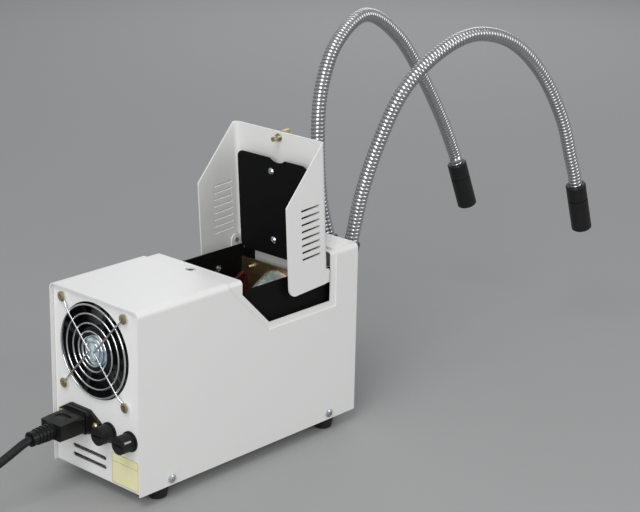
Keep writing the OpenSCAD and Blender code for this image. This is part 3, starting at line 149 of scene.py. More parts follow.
class Shade:
    """A material or the world under construction: its one shader and the nodes that feed it."""

    def __init__(self, name: str, world: bool = False) -> None:
        """Starts a material with its Principled shader, or a world with its Background.

        Args:
            name: the material's or world's name.
            world: whether it is a world.
        """
        self.data = (bpy.data.worlds if world else bpy.data.materials).new(name)
        self.data.use_nodes = True
        self.tree = self.data.node_tree
        kind = "BACKGROUND" if world else "BSDF_PRINCIPLED"
        self.shader = next(n for n in self.tree.nodes if n.type == kind)

    def node(self, kind: str, settings: Mapping[str, Any] | None = None,
             inputs: Mapping[Any, Any] | None = None, out: Any = 0) -> Sock:
        """Adds any node.

        Args:
            kind: the node's type.
            settings: properties that are set before the inputs.
            inputs: values or links by socket name or number.
            out: the output to return, by name or number.

        Returns:
            The output's value.
        """
        made = self.tree.nodes.new(kind)
        for key, value in (settings or {}).items():
            setattr(made, key, value)
        for key, value in (inputs or {}).items():
            if isinstance(value, Sock):
                self.tree.links.new(value.socket, made.inputs[key])
            else:
                made.inputs[key].default_value = value
        return Sock(self, made.outputs[out])

    def coords(self) -> Sock:
        """The point's Object coordinates.

        Returns:
            The coordinate vector.
        """
        return self.node("ShaderNodeTexCoord", out="Object")

    def split(self, vector: Sock) -> tuple[Sock, Sock, Sock]:
        """The three parts of a vector.

        Args:
            vector: the vector.

        Returns:
            X, Y and Z.
        """
        made = self.node("ShaderNodeSeparateXYZ", inputs={0: vector})
        outs = made.socket.node.outputs
        return Sock(self, outs[0]), Sock(self, outs[1]), Sock(self, outs[2])

    def noise(self, scale: float, detail: float = 3, vector: Sock | None = None) -> Sock:
        """Fractal noise from 0 to 1.

        Args:
            scale: waves per metre.
            detail: octaves.
            vector: where to read it; Object coordinates by default.

        Returns:
            The noise value.
        """
        return self.node("ShaderNodeTexNoise", inputs={
            "Vector": vector or self.coords(), "Scale": scale, "Detail": detail})

    def mix(self, factor: Sock | float, a: Any, b: Any) -> Sock:
        """A colour mix.

        Args:
            factor: 0 gives a, 1 gives b.
            a: the first colour or link.
            b: the second colour or link.

        Returns:
            The mixed colour.
        """
        def colour(c: Any) -> Any:
            """A plain colour as four numbers, a link as it is."""
            return c if isinstance(c, Sock) else (*c, 1)
        return self.node("ShaderNodeMix", {"data_type": "RGBA"},
                         {0: factor, 6: colour(a), 7: colour(b)}, out=2)

    def set(self, **sockets: Any) -> None:
        """Sets the shader's own sockets, an underscore standing for a space.

        Args:
            sockets: values or links by socket name.
        """
        for key, value in sockets.items():
            name = key.replace("_", " ")
            if isinstance(value, Sock):
                self.tree.links.new(value.socket, self.shader.inputs[name])
            elif name.endswith("Color"):
                self.shader.inputs[name].default_value = (*value, 1)
            else:
                self.shader.inputs[name].default_value = value

    def bump(self, height: Sock, distance: float, strength: float = 1) -> None:
        """Feeds the normal from a height.

        Args:
            height: the height, from 0 to 1.
            distance: what a height of 1 stands for, in metres.
            strength: how much of it shows.
        """
        self.set(Normal=self.node("ShaderNodeBump", inputs={
            "Height": height, "Distance": distance, "Strength": strength}))


# ---- Finishes -------------------------------------------------------------------------------


@dataclass(frozen=True)
class Paint:
    """Sprayed paint on sheet steel: a faint orange peel, slight mottling and rubbed patches."""

    colour: Rgb
    roughness: float = 0.42
    peel: float = 0.00002
    peel_scale: float = 900.0
    mottle: float = 0.03
    mottle_scale: float = 14.0
    wear: float = 0.06
    wear_scale: float = 55.0
    wear_ramp: tuple[float, float] = (0.55, 0.75)
    specular: float = 0.45

    def material(self, name: str) -> bpy.types.Material:
        """The paint as a material.

        Args:
            name: the material's name.

        Returns:
            The material.
        """
        s = Shade(name)
        cloud = s.noise(self.mottle_scale, 4)
        worn = s.noise(self.wear_scale, 5).ramp(*self.wear_ramp)
        dark = tuple(c * (1 - self.mottle) for c in self.colour)
        s.set(Base_Color=s.mix(cloud, dark, self.colour),
              Roughness=self.roughness + self.wear * worn, Specular_IOR_Level=self.specular)
        s.bump(s.noise(self.peel_scale, 2), self.peel)
        return s.data


@dataclass(frozen=True)
class Plastic:
    """Moulded plastic with a fine spark-eroded texture and handling marks."""

    colour: Rgb
    roughness: float = 0.45
    grain: float = 0.00003
    grain_scale: float = 2600.0
    dust: float = 0.12
    dust_cover: float = 4.0
    dust_light: float = 0.012
    dust_scale: float = 120.0
    dust_ramp: tuple[float, float] = (0.5, 0.85)
    specular: float = 0.3

    def material(self, name: str) -> bpy.types.Material:
        """The plastic as a material.

        Args:
            name: the material's name.

        Returns:
            The material.
        """
        s = Shade(name)
        marks = s.noise(self.dust_scale, 5).ramp(*self.dust_ramp)
        light = tuple(c + self.dust_light for c in self.colour)
        s.set(Base_Color=s.mix(marks * self.dust * self.dust_cover, self.colour, light),
              Roughness=self.roughness + self.dust * marks, Specular_IOR_Level=self.specular)
        s.bump(s.noise(self.grain_scale, 2), self.grain)
        return s.data


@dataclass(frozen=True)
class Metal:
    """Plated or bare metal with uneven polish and, if asked, brushing along an axis."""

    colour: Rgb
    tint: Rgb
    roughness: float = 0.25
    spread: float = 0.15
    brushed: float = 0.0
    stretch: tuple[float, float, float] = (1, 1, 40)
    patina_scale: float = 90.0
    patina_rough: float = 0.6
    patina_ramp: tuple[float, float] = (0.35, 0.7)
    line_scale: float = 60.0
    grain: float = 0.00001
    grain_scale: float = 1400.0
    grain_strength: float = 0.6

    def material(self, name: str) -> bpy.types.Material:
        """The metal as a material.

        Args:
            name: the material's name.

        Returns:
            The material.
        """
        s = Shade(name)
        patina = s.noise(self.patina_scale, 4)
        stretched = s.node("ShaderNodeVectorMath", {"operation": "MULTIPLY"},
                           {0: s.coords(), 1: self.stretch})
        lines = s.noise(self.line_scale, 3, stretched)
        tarnish = self.spread * patina * self.patina_rough
        s.set(Base_Color=s.mix(patina.ramp(*self.patina_ramp), self.colour, self.tint),
              Metallic=1.0, Roughness=self.roughness + tarnish + self.brushed * (lines - 0.5))
        s.bump(lines if self.brushed else s.noise(self.grain_scale, 2), self.grain,
               self.grain_strength)
        return s.data


@dataclass(frozen=True)
class Glass:
    """Clear glass, quartz or a polished window."""

    colour: Rgb = (0.95, 0.97, 1.0)
    roughness: float = 0.03
    smear: float = 0.05
    smear_scale: float = 200.0
    clear: float = 0.9
    ior: float = 1.46

    def material(self, name: str) -> bpy.types.Material:
        """The glass as a material.

        Args:
            name: the material's name.

        Returns:
            The material.
        """
        s = Shade(name)
        s.set(Base_Color=self.colour, Transmission_Weight=self.clear, IOR=self.ior,
              Roughness=self.roughness + self.smear * s.noise(self.smear_scale, 3))
        return s.data


@dataclass(frozen=True)
class FibreFace:
    """The polished end of a fibre bundle: fine round fibres packed side by side."""

    between: Rgb = (0.1, 0.09, 0.07)
    fibre: Rgb = (0.82, 0.83, 0.8)
    fibre_scale: float = 2600.0
    fibre_ramp: tuple[float, float] = (0.35, 0.62)
    roughness: float = 0.15
    relief: float = 0.00003

    def material(self, name: str) -> bpy.types.Material:
        """The bundle as a material.

        Args:
            name: the material's name.

        Returns:
            The material.
        """
        s = Shade(name)
        cell = s.node("ShaderNodeTexVoronoi", {"voronoi_dimensions": "3D"},
                      {"Vector": s.coords(), "Scale": self.fibre_scale}, out="Distance")
        core = 1 - cell.ramp(*self.fibre_ramp)
        s.set(Base_Color=s.mix(core, self.between, self.fibre), Roughness=self.roughness)
        s.bump(core, self.relief)
        return s.data


@dataclass(frozen=True)
class Reflector:
    """A dichroic coated reflector: greenish and silver facets on pressed glass."""

    green: Rgb = (0.66, 0.76, 0.72)
    silver: Rgb = (0.96, 0.98, 0.97)
    metallic: float = 0.7
    roughness: float = 0.2
    facet_scale: float = 260.0
    facet_rough: float = 0.1
    facet_depth: float = 0.0004
    tone_scale: float = 60.0
    tone_ramp: tuple[float, float] = (0.35, 0.65)

    def material(self, name: str) -> bpy.types.Material:
        """The coating as a material.

        Args:
            name: the material's name.

        Returns:
            The material.
        """
        s = Shade(name)
        facets = s.node("ShaderNodeTexVoronoi",
                        inputs={"Vector": s.coords(), "Scale": self.facet_scale}, out="Distance")
        tone = s.noise(self.tone_scale, 2)
        s.set(Base_Color=s.mix(tone.ramp(*self.tone_ramp), self.green, self.silver),
              Metallic=self.metallic, Roughness=self.roughness + self.facet_rough * facets)
        s.bump(facets, self.facet_depth)
        return s.data


@dataclass(frozen=True)
class Label:
    """A blank printed label with a thin border and ruled lines across it."""

    paper: Rgb
    line: Rgb
    centre: tuple[float, float]
    size: tuple[float, float]
    rule_z: tuple[float, ...]
    rule_w: float = 0.25 * MM
    border_in: float = 0.35 * MM
    ink: float = 0.7
    fading: float = 0.93
    fading_scale: float = 40.0
    roughness: float = 0.4
    smear: float = 0.1
    smear_scale: float = 300.0
    relief: float = 0.00001
    relief_scale: float = 500.0

    def material(self, name: str) -> bpy.types.Material:
        """The label as a material. The border is where the distance from the edge of a rectangle,
        the larger of |x| - w / 2 and |z| - h / 2, is within a line's width of border_in.

        Args:
            name: the material's name.

        Returns:
            The material.
        """
        s = Shade(name)
        x, _, z = s.split(s.coords())
        side = (x - self.centre[0]).call("ABSOLUTE") - self.size[0] / 2
        level = (z - self.centre[1]).call("ABSOLUTE") - self.size[1] / 2
        edge = side.call("MAXIMUM", level) + self.border_in
        ruled = edge.call("ABSOLUTE") < self.rule_w
        for height in self.rule_z:
            rule = ((z - height).call("ABSOLUTE") < self.rule_w) * (edge < 0.0)
            ruled = ruled.call("MAXIMUM", rule)
        faded = tuple(c * self.fading for c in self.paper)
        paper = s.mix(s.noise(self.fading_scale, 3), faded, self.paper)
        s.set(Base_Color=s.mix(ruled * self.ink, paper, self.line),
              Roughness=self.roughness + self.smear * s.noise(self.smear_scale, 2))
        s.bump(s.noise(self.relief_scale, 3), self.relief)
        return s.data


@dataclass(frozen=True)
class Sticker:
    """A blank round sticker, unevenly printed in one tone."""

    light: Rgb
    tone: Rgb
    blotch_scale: float = 110.0
    blotch_ramp: tuple[float, float] = (0.42, 0.58)
    roughness: float = 0.3
    smear: float = 0.1
    smear_scale: float = 300.0
    relief: float = 0.00001
    relief_scale: float = 700.0

    def material(self, name: str) -> bpy.types.Material:
        """The sticker as a material.

        Args:
            name: the material's name.

        Returns:
            The material.
        """
        s = Shade(name)
        blotches = s.noise(self.blotch_scale, 3).ramp(*self.blotch_ramp)
        s.set(Base_Color=s.mix(blotches, self.tone, self.light),
              Roughness=self.roughness + self.smear * s.noise(self.smear_scale, 2))
        s.bump(s.noise(self.relief_scale, 2), self.relief)
        return s.data


@dataclass(frozen=True)
class Hose:
    """Chromed wound strip, its colour darkened between the ribs by the mesh's own depth: painted shade
    in the grooves.
    """

    rib: Rgb
    painted_groove_shade: Rgb
    roughness: float = 0.17
    valley_rough: float = 0.25
    groove_shade_ramp: tuple[float, float] = (0.35, 0.95)
    smear: float = 0.06
    smear_scale: float = 160.0
    grain: float = 0.00001
    grain_scale: float = 1400.0
    grain_strength: float = 0.5

    def material(self, name: str) -> bpy.types.Material:
        """The hose as a material.

        Args:
            name: the material's name.

        Returns:
            The material.
        """
        s = Shade(name)
        depth = s.node("ShaderNodeAttribute", {"attribute_name": "depth"}, out="Fac")
        smears = self.smear * s.noise(self.smear_scale, 3)
        # painted shade: the base colour darkens towards the bottom of each groove
        s.set(Base_Color=s.mix(depth.ramp(*self.groove_shade_ramp), self.rib, self.painted_groove_shade), Metallic=1.0,
              Roughness=self.roughness + self.valley_rough * depth + smears)
        s.bump(s.noise(self.grain_scale, 2), self.grain, self.grain_strength)
        return s.data


class Finish(Enum):
    """The finishes of the object, by name."""

    WHITE = Paint((0.74, 0.74, 0.725))
    PANEL_WHITE = Paint((0.8, 0.8, 0.79), roughness=0.38)
    HEAT_BLACK = Paint((0.0045, 0.0045, 0.005), roughness=0.62, mottle=0.3, specular=0.09)
    BLACK = Plastic((0.008, 0.008, 0.0085))
    SOFT_BLACK = Plastic((0.007, 0.007, 0.0075), roughness=0.38, grain=0.00001)
    RUBBER = Plastic((0.011, 0.011, 0.011), roughness=0.7, grain=0.00005)
    STEEL = Metal((0.62, 0.63, 0.65), (0.5, 0.51, 0.53))
    CHROME = Metal((0.78, 0.79, 0.8), (0.66, 0.67, 0.69), roughness=0.12, spread=0.08)
    BRASS = Metal((0.6, 0.54, 0.36), (0.42, 0.38, 0.26), roughness=0.28)
    BRONZE = Metal((0.8, 0.58, 0.3), (0.5, 0.4, 0.24), roughness=0.34, brushed=0.2)
    ALLOY = Metal((0.6, 0.61, 0.62), (0.5, 0.51, 0.53), roughness=0.3, brushed=0.15,
                  stretch=(30, 1, 30))
    CORE = Metal((0.2, 0.2, 0.21), (0.12, 0.12, 0.12), roughness=0.5, brushed=0.3,
                 stretch=(1, 60, 1))
    QUARTZ = Glass()
    FIBRE = FibreFace()
    MIRROR_BOWL = Reflector()
    CERAMIC = Plastic((0.72, 0.7, 0.64), roughness=0.75, grain=0.00006, grain_scale=1200)
    TAPE = Plastic((0.55, 0.36, 0.06), roughness=0.35)
    BOARD = Plastic((0.02, 0.14, 0.05), roughness=0.3)
    RED_WIRE = Plastic((0.09, 0.012, 0.016), roughness=0.35)
    YELLOW_LABEL = Label((0.84, 0.81, 0.49), (0.3, 0.29, 0.16), centre=(-0.0309, 0.0251),
                         size=(0.0303, 0.0252), rule_z=(0.0307,))
    HUB_STICKER = Sticker((0.72, 0.78, 0.8), (0.2, 0.42, 0.55))
    # the second colour is painted shade for the grooves between the ribs
    HOSE = Hose((0.46, 0.465, 0.47), (0.06, 0.06, 0.063))
    PRINT = Plastic((0.03, 0.03, 0.03), roughness=0.5)
    # a light grey used only to paint the highlight along a fuse cap's side
    CAP_PAINTED_HIGHLIGHT = Plastic((0.34, 0.35, 0.36), roughness=0.4, grain=0.00001)


class Wardrobe:
    """Makes each finish once and hands it out."""

    def __init__(self) -> None:
        """Starts with nothing made."""
        self.made: dict[Finish, bpy.types.Material] = {}

    def get(self, finish: Finish) -> bpy.types.Material:
        """The material of a finish.

        Args:
            finish: which finish.

        Returns:
            Its material, made on first use.
        """
        if finish not in self.made:
            self.made[finish] = finish.value.material(finish.name.lower())
        return self.made[finish]

    def dress(self, obj: bpy.types.Object, finish: Finish) -> None:
        """Gives an object one finish all over.

        Args:
            obj: the object.
            finish: its finish.
        """
        obj.data.materials.clear()
        obj.data.materials.append(self.get(finish))
        log.info("%s: %s", obj.name, finish.name.lower())


# ---- Meshes ---------------------------------------------------------------------------------


def unit(v: np.ndarray) -> np.ndarray:
    """The vectors along the last axis at length 1."""
    return v / np.linalg.norm(v, axis=-1, keepdims=True)


def mesh_object(name: str, points: np.ndarray, faces: Sequence[Sequence[int]],
                smooth: bool = True, crease: float = 40.0) -> bpy.types.Object:
    """Makes an object from points and faces.

    Args:
        name: the object's name.
        points: (n, 3) points in metres.
        faces: lists of point numbers, facing outwards.
        smooth: whether it is shaded smooth.
        crease: edges sharper than this many degrees stay sharp.

    Returns:
        The new object, linked to the scene.
    """
    mesh = bpy.data.meshes.new(name)
    mesh.from_pydata(np.asarray(points, float), [], [list(map(int, f)) for f in faces])
    mesh.update()
    if smooth:
        mesh.shade_smooth()
        mesh.set_sharp_from_angle(angle=math.radians(crease))
    obj = bpy.data.objects.new(name, mesh)
    bpy.context.scene.collection.objects.link(obj)
    return obj


def grid_faces(rows: int, cols: int, wrap_rows: bool = False) -> np.ndarray:
    """Quads of a grid whose columns run around and whose rows run along.

    Point (i, j) is number i cols + j, and each quad is (i, j), (i, j+1), (i+1, j+1), (i+1, j).

    Args:
        rows: number of rows.
        cols: number of columns, of which the last joins the first.
        wrap_rows: whether the last row joins the first.

    Returns:
        (m, 4) point numbers.
    """
    i, j = np.meshgrid(np.arange(rows if wrap_rows else rows - 1), np.arange(cols), indexing="ij")
    i, j = i.ravel(), j.ravel()
    ni, nj = (i + 1) % rows, (j + 1) % cols
    return np.stack([i * cols + j, i * cols + nj, ni * cols + nj, ni * cols + j], axis=1)


def capped(rows: int, cols: int) -> list[list[int]]:
    """Faces of a tube with both ends closed by one flat face each.

    Args:
        rows: rings along the tube.
        cols: points around it.

    Returns:
        Lists of point numbers.
    """
    faces = [list(f) for f in grid_faces(rows, cols)]
    faces.append(list(range(cols))[::-1])
    faces.append([(rows - 1) * cols + j for j in range(cols)])
    return faces


@dataclass(frozen=True)
class Run:
    """A smooth centreline with an even spacing and a frame at each point."""

    points: np.ndarray
    side: np.ndarray
    over: np.ndarray
    length: float

    def stations(self) -> np.ndarray:
        """The distance of each point along the line, as a column."""
        return np.linspace(0, self.length, len(self.points))[:, None]

    @staticmethod
    def through(points: np.ndarray, count: int, ref: Point) -> "Run":
        """Resamples a polyline to an even spacing.

        The tangent is the central difference; side is ref less its part along the tangent, and
        over is the cross product of tangent and side.

        Args:
            points: (n, 3) dense points along the line.
            count: how many points to make.
            ref: a direction that the line never runs along.

        Returns:
            The run.
        """
        gaps = np.linalg.norm(np.diff(points, axis=0), axis=1)
        dist = np.concatenate([[0], np.cumsum(gaps)])
        s = np.linspace(0, dist[-1], count)
        p = np.stack([np.interp(s, dist, points[:, k]) for k in range(3)], axis=1)
        t = unit(np.gradient(p, axis=0))
        r = np.asarray(ref, float)
        u = unit(r - (t @ r)[:, None] * t)
        return Run(p, u, np.cross(t, u), float(dist[-1]))


def catmull(points: np.ndarray, steps: int) -> np.ndarray:
    """A Catmull-Rom curve through points, the ends doubled.

    Each stretch is half of 2b + (c-a)t + (2a-5b+4c-d)t2 + (3b-a-3c+d)t3.

    Args:
        points: (n, 3) points.
        steps: samples per stretch.

    Returns:
        (m, 3) samples.
    """
    p = np.concatenate([points[:1], points, points[-1:]])
    a, b, c, d = (p[k:len(p) - 3 + k, None, :] for k in range(4))
    t = (np.arange(steps) / steps)[None, :, None]
    square, cube = 2 * a - 5 * b + 4 * c - d, 3 * b - a - 3 * c + d
    curve = 0.5 * (2 * b + (c - a) * t + square * t ** 2 + cube * t ** 3)
    return np.concatenate([curve.reshape(-1, 3), points[-1:]])


def turns(around: int) -> np.ndarray:
    """The angles of the points around a ring, as a row."""
    return (np.arange(around) / around * 2 * math.pi)[None, :]


def tube(name: str, run: Run, radius: Callable[[np.ndarray, np.ndarray], np.ndarray] | float,
         around: int) -> bpy.types.Object:
    """A tube along a run: point = centre + r(s, a) (cos a side + sin a over).

    Args:
        name: the object's name.
        run: its centreline.
        radius: the radius, or a function of distance (column) and angle (row).
        around: points around it.

    Returns:
        The object.
    """
    s, a = run.stations(), turns(around)
    r = radius(s, a) if callable(radius) else np.full((len(s), around), radius)
    cos, sin = np.cos(a)[..., None], np.sin(a)[..., None]
    ring = cos * run.side[:, None, :] + sin * run.over[:, None, :]
    points = (run.points[:, None, :] + r[..., None] * ring).reshape(-1, 3)
    return mesh_object(name, points, capped(len(run.points), around))


def lathe(name: str, profile: Sequence[tuple[float, float]], centre: Point, axis: Point,
          around: int, closed: bool = False) -> bpy.types.Object:
    """A turned piece: point = centre + t axis + r (cos a u + sin a v), along a profile of (r, t).

    Args:
        name: the object's name.
        profile: (radius, distance along the axis) in metres, from one end to the other along the
            axis, or anticlockwise about the section of a ring.
        centre: a point on the axis.
        axis: the axis.
        around: points around it.
        closed: whether the profile closes on itself, which makes a ring.

    Returns:
        The object.
    """
    prof = np.asarray(profile, float)
    w = unit(np.asarray(axis, float))
    # u starts from X, or from Y where the axis is nearly X
    ref = np.array([1.0, 0, 0]) if abs(w[0]) < 0.9 else np.array([0, 1.0, 0])
    u = unit(ref - (ref @ w) * w)
    a = turns(around)[..., None]
    ring = np.cos(a) * u + np.sin(a) * np.cross(w, u)
    points = np.asarray(centre) + prof[:, 1, None, None] * w + prof[:, 0, None, None] * ring
    faces = grid_faces(len(prof), around, wrap_rows=True) if closed else capped(len(prof), around)
    return mesh_object(name, points.reshape(-1, 3), faces, crease=TURNED_CREASE)


# ---- Studio ---------------------------------------------------------------------------------


@dataclass(frozen=True)
class SoftLamp:
    """One soft square lamp."""

    name: str
    place: Point
    aim: Point
    size: float
    watts: float

    def hang(self) -> None:
        """Adds the lamp to the scene, facing its aim."""
        data = bpy.data.lights.new(self.name, "AREA")
        data.shape = "SQUARE"
        data.size = self.size
        data.energy = self.watts
        lamp = bpy.data.objects.new(self.name, data)
        place = Vector(self.place)
        turn = (Vector(self.aim) - place).to_track_quat("-Z", "Y")
        lamp.matrix_world = Matrix.Translation(place) @ turn.to_matrix().to_4x4()
        bpy.context.scene.collection.objects.link(lamp)


@dataclass
class Studio:
    """The floor, the soft lights and the camera at the photograph's place."""

    azimuth: float = 222.320
    elevation: float = 18.312
    roll: float = 1.113
    focal_px: float = 1776.285
    image_w: int = 640
    sensor_mm: float = 36.0
    far_clip: float = 50.0
    eye: tuple[float, float, float] = (-0.974842, 0.939034, 0.613770)
    floor_size: float = 8.0
    floor_grey: float = 0.34
    floor_rough: float = 0.9
    floor_shine: float = 0.1
    air: Rgb = (0.95, 0.97, 1.0)
    air_light: float = 0.4
    air_seen: float = 0.5
    lamps: tuple[SoftLamp, ...] = (
        SoftLamp("key", (-0.46, 1.15, 2.0), (0, 0, 0.1), 1.2, 20),
        SoftLamp("fill", (-0.95, 1.55, 0.72), (0, 0, 0.1), 0.9, 16),
        SoftLamp("side", (-1.8, -0.8, 0.9), (0, -0.1, 0.1), 1.0, 10),
        SoftLamp("front", (1.2, -1.7, 1.1), (0, -0.1, 0.1), 1.2, 9),
    )

    def camera(self) -> None:
        """Puts the camera where the photograph was taken from."""
        az, el, roll = (math.radians(v) for v in (self.azimuth, self.elevation, self.roll))
        ahead = Vector((-math.sin(az) * math.cos(el), math.cos(az) * math.cos(el), -math.sin(el)))
        level = ahead.cross(Vector((0, 0, 1))).normalized()
        upright = level.cross(ahead)
        right = level * math.cos(roll) + upright * math.sin(roll)
        up = right.cross(ahead)
        data = bpy.data.cameras.new("camera")
        data.sensor_width = self.sensor_mm
        data.sensor_fit = "HORIZONTAL"
        data.lens = self.focal_px * self.sensor_mm / self.image_w
        data.clip_end = self.far_clip
        cam = bpy.data.objects.new("camera", data)
        cam.matrix_world = Matrix((
            (right.x, up.x, -ahead.x, self.eye[0]),
            (right.y, up.y, -ahead.y, self.eye[1]),
            (right.z, up.z, -ahead.z, self.eye[2]), (0, 0, 0, 1)))
        bpy.context.scene.collection.objects.link(cam)
        bpy.context.scene.camera = cam

    def floor(self) -> None:
        """Lays a plain pale floor that keeps the object's shadow."""
        h = self.floor_size / 2
        points = np.array([[-h, -h, 0], [h, -h, 0], [h, h, 0], [-h, h, 0]])
        plane = mesh_object("floor", points, [[0, 1, 2, 3]])
        s = Shade("floor")
        s.set(Base_Color=(self.floor_grey,) * 3, Roughness=self.floor_rough,
              Specular_IOR_Level=self.floor_shine)
        plane.data.materials.append(s.data)

    def world(self) -> None:
        """A plain grey surround, a little brighter to the camera, in reflections and through glass."""
        s = Shade("surround", world=True)
        seen = s.node("ShaderNodeLightPath", out="Is Camera Ray")
        for ray in ("Is Glossy Ray", "Is Transmission Ray"):
            seen = seen.call("MAXIMUM", s.node("ShaderNodeLightPath", out=ray))
        light = s.node("ShaderNodeMapRange", inputs={
            "Value": seen, "To Min": self.air_light, "To Max": self.air_seen})
        s.set(Color=self.air, Strength=light)
        bpy.context.scene.world = s.data

    def build(self) -> None:
        """Builds the whole studio."""
        self.camera()
        self.floor()
        self.world()
        for lamp in self.lamps:
            lamp.hang()
        bpy.context.scene.view_settings.view_transform = "Standard"


# ---- The object's sub-assemblies ------------------------------------------------------------


@dataclass
class Gooseneck:
    """One stay-put arm: a helically wound metal hose from the connector to its tip, in
    millimetres and degrees."""

    name: str
    node: str
    side: int
    bends: Sequence[Point]
    tip: Point
    aim: Point
    root: tuple[float, float, float] = (8.5, -156.0, 128.0)
    lean: float = 16.5
    outer_r: float = 6.25
    groove: float = 1.0
    pitch: float = 3.4
    sleeve_up: float = 17.0
    sleeve_past: float = 2.0
    seat: float = 12.0
    guide: float = 4.0
    steps: int = 24
    around: int = 28
    per_turn: int = 9

    def centre(self) -> np.ndarray:
        """The centreline from the root to inside the tip, straight at both ends.

        Returns:
            (n, 3) points in metres.
        """
        root = np.array([self.side * self.root[0], self.root[1], self.root[2]])
        lean = math.radians(self.lean)
        up = np.array([self.side * math.sin(lean), 0, math.cos(lean)])
        down = unit(np.array(self.aim, float))
        tip = np.array(self.tip)
        knots = np.array([root + 0.5 * self.sleeve_up * up,
                          root + (self.sleeve_up + self.sleeve_past) * up, *self.bends,
                          tip - self.seat * down, tip - self.guide * down, tip + self.guide * down])
        return np.concatenate([[root], catmull(knots, self.steps), [tip + self.seat * down]]) * MM

    def build(self, wardrobe: Wardrobe) -> None:
        """Winds the hose. The rib at distance s and angle a is a half round of the phase
        s / pitch - a / turn, so that it climbs as a screw.

        Args:
            wardrobe: the finishes.
        """
        line = self.centre()
        length = np.linalg.norm(np.diff(line, axis=0), axis=1).sum()
        pitch, groove, outer = self.pitch * MM, self.groove * MM, self.outer_r * MM
        count = int(length / pitch * self.per_turn)
        run = Run.through(line, count, (1, 0, 0))

        def depth(s: np.ndarray, a: np.ndarray) -> np.ndarray:
            """How deep between two ribs a point lies, from 0 to 1."""
            phase = (s / pitch - a / (2 * math.pi)) % 1.0
            return 1 - np.sqrt(np.clip(1 - (2 * phase - 1) ** 2, 0, 1))
        hose = tube(self.name, run, lambda s, a: outer - groove * depth(s, a), self.around)
        # the depth also darkens the hose's colour in its grooves, as painted shade
        depths = depth(run.stations(), turns(self.around)).astype(np.float32).ravel()
        hose.data.attributes.new("depth", "FLOAT", "POINT").data.foreach_set("value", depths)
        wardrobe.dress(hose, Finish.HOSE)
        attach(hose, GUIDE)
        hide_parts(self.node)


@dataclass
class MainsCord:
    """The free cord: out of the strain relief, down to the bench and round its stored coil."""

    route: Sequence[Point] = (
        (0.0193, 0.1707, 0.0526), (0.0194, 0.177, 0.05091), (0.0197, 0.184, 0.048),
        (0.0201, 0.191, 0.045), (0.0206, 0.1985, 0.0419), (0.0213, 0.206, 0.03861),
        (0.0222, 0.2135, 0.0344), (0.0234, 0.221, 0.02879), (0.0248, 0.2285, 0.0222),
        (0.0268, 0.236, 0.01538), (0.0292, 0.2435, 0.00962), (0.0314, 0.252, 0.0056),
        (0.0326, 0.2585, 0.00439), (0.033, 0.264, 0.0042))
    diameter: float = 6.8 * MM
    turns: float = 6.5
    r_min: float = 27.5 * MM
    gap: float = 0.5 * MM
    tail: float = 14.0 * MM
    climb_turns: float = 0.5
    per_turn: int = 60
    steps: int = 8
    around: int = 16

    def coil(self) -> np.ndarray:
        """The coil's centreline: it spirals in, climbs a layer in climb_turns and spirals out.

        Radius = r_min + pitch |n - mid| after n turns, clockwise from the side that it enters.
        The climb c from 0 to 1 is eased as c squared (3 - 2c).

        Returns:
            (n, 3) points in metres.
        """
        pitch = self.diameter + self.gap
        mid = self.turns / 2
        start = np.array(self.route[-1])
        out = self.r_min + pitch * mid
        n = np.linspace(0, self.turns, int(self.turns * self.per_turn) + 1)
        r = self.r_min + pitch * np.abs(n - mid)
        a = math.pi - 2 * math.pi * n
        climb = np.clip((n - mid + self.climb_turns / 2) / self.climb_turns, 0, 1)
        z = start[2] + pitch * climb ** 2 * (3 - 2 * climb)
        return np.stack([start[0] + out + r * np.cos(a), start[1] + r * np.sin(a), z], axis=1)

    def build(self, wardrobe: Wardrobe) -> None:
        """Args:
            wardrobe: the finishes.
        """
        coil = self.coil()
        end = coil[-1] - np.array([0, self.tail, 0])
        line = np.concatenate([catmull(np.array(self.route, float), self.steps)[:-1], coil, [end]])
        length = float(np.linalg.norm(np.diff(line, axis=0), axis=1).sum())
        t = unit(np.gradient(line, axis=0))
        side = unit(np.cross(t, np.array([0, 0, 1.0])))
        run = Run(line, side, np.cross(t, side), length)
        cord = tube("mains_cord", run, self.diameter / 2, self.around)
        wardrobe.dress(cord, Finish.SOFT_BLACK)
        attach(cord, CHASSIS)
        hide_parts("cord_run", "cord_coil")
        log.info("mains_cord is %.3f m long", length)


@dataclass
class Leads:
    """The insulated wires that show: the lamp's in its compartment and the fan's at its hub."""

    lamp_routes: Sequence[Sequence[Point]] = (
        ((4, -33, 109), (14, -33, 108), (26, -42, 111), (32, -58, 119), (34.5, -70, 125),
         (36.5, -75.8, 123.5), (37.5, -77.6, 116), (38, -77.8, 99)),
        ((-4, -33, 109), (10, -30, 107), (25, -39, 107), (34, -56, 114), (37.5, -69, 121),
         (39.5, -75, 118), (40.8, -77, 109), (41, -77.4, 98)),
    )
    fan_route: Sequence[Point] = ((14, 119, 105.5), (18, 119.1, 102), (24, 119, 96), (29, 118.9, 90))
    lamp_r: float = 1.4 * MM
    fan_r: float = 0.6 * MM
    steps: int = 12
    rings: int = 60
    around: int = 12
    ref: Point = (0, 1, 0.1)            # a direction that no wire runs along

    def build(self, wardrobe: Wardrobe) -> None:
        """Draws the wires.

        Args:
            wardrobe: the finishes.
        """
        wires = [(f"lamp_lead_{i}", route, self.lamp_r) for i, route in enumerate(self.lamp_routes)]
        for name, route, radius in [*wires, ("fan_lead", self.fan_route, self.fan_r)]:
            line = catmull(np.array(route, float) * MM, self.steps)
            wire = tube(name, Run.through(line, self.rings, self.ref), radius, self.around)
            wardrobe.dress(wire, Finish.RED_WIRE)
            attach(wire, CHASSIS)


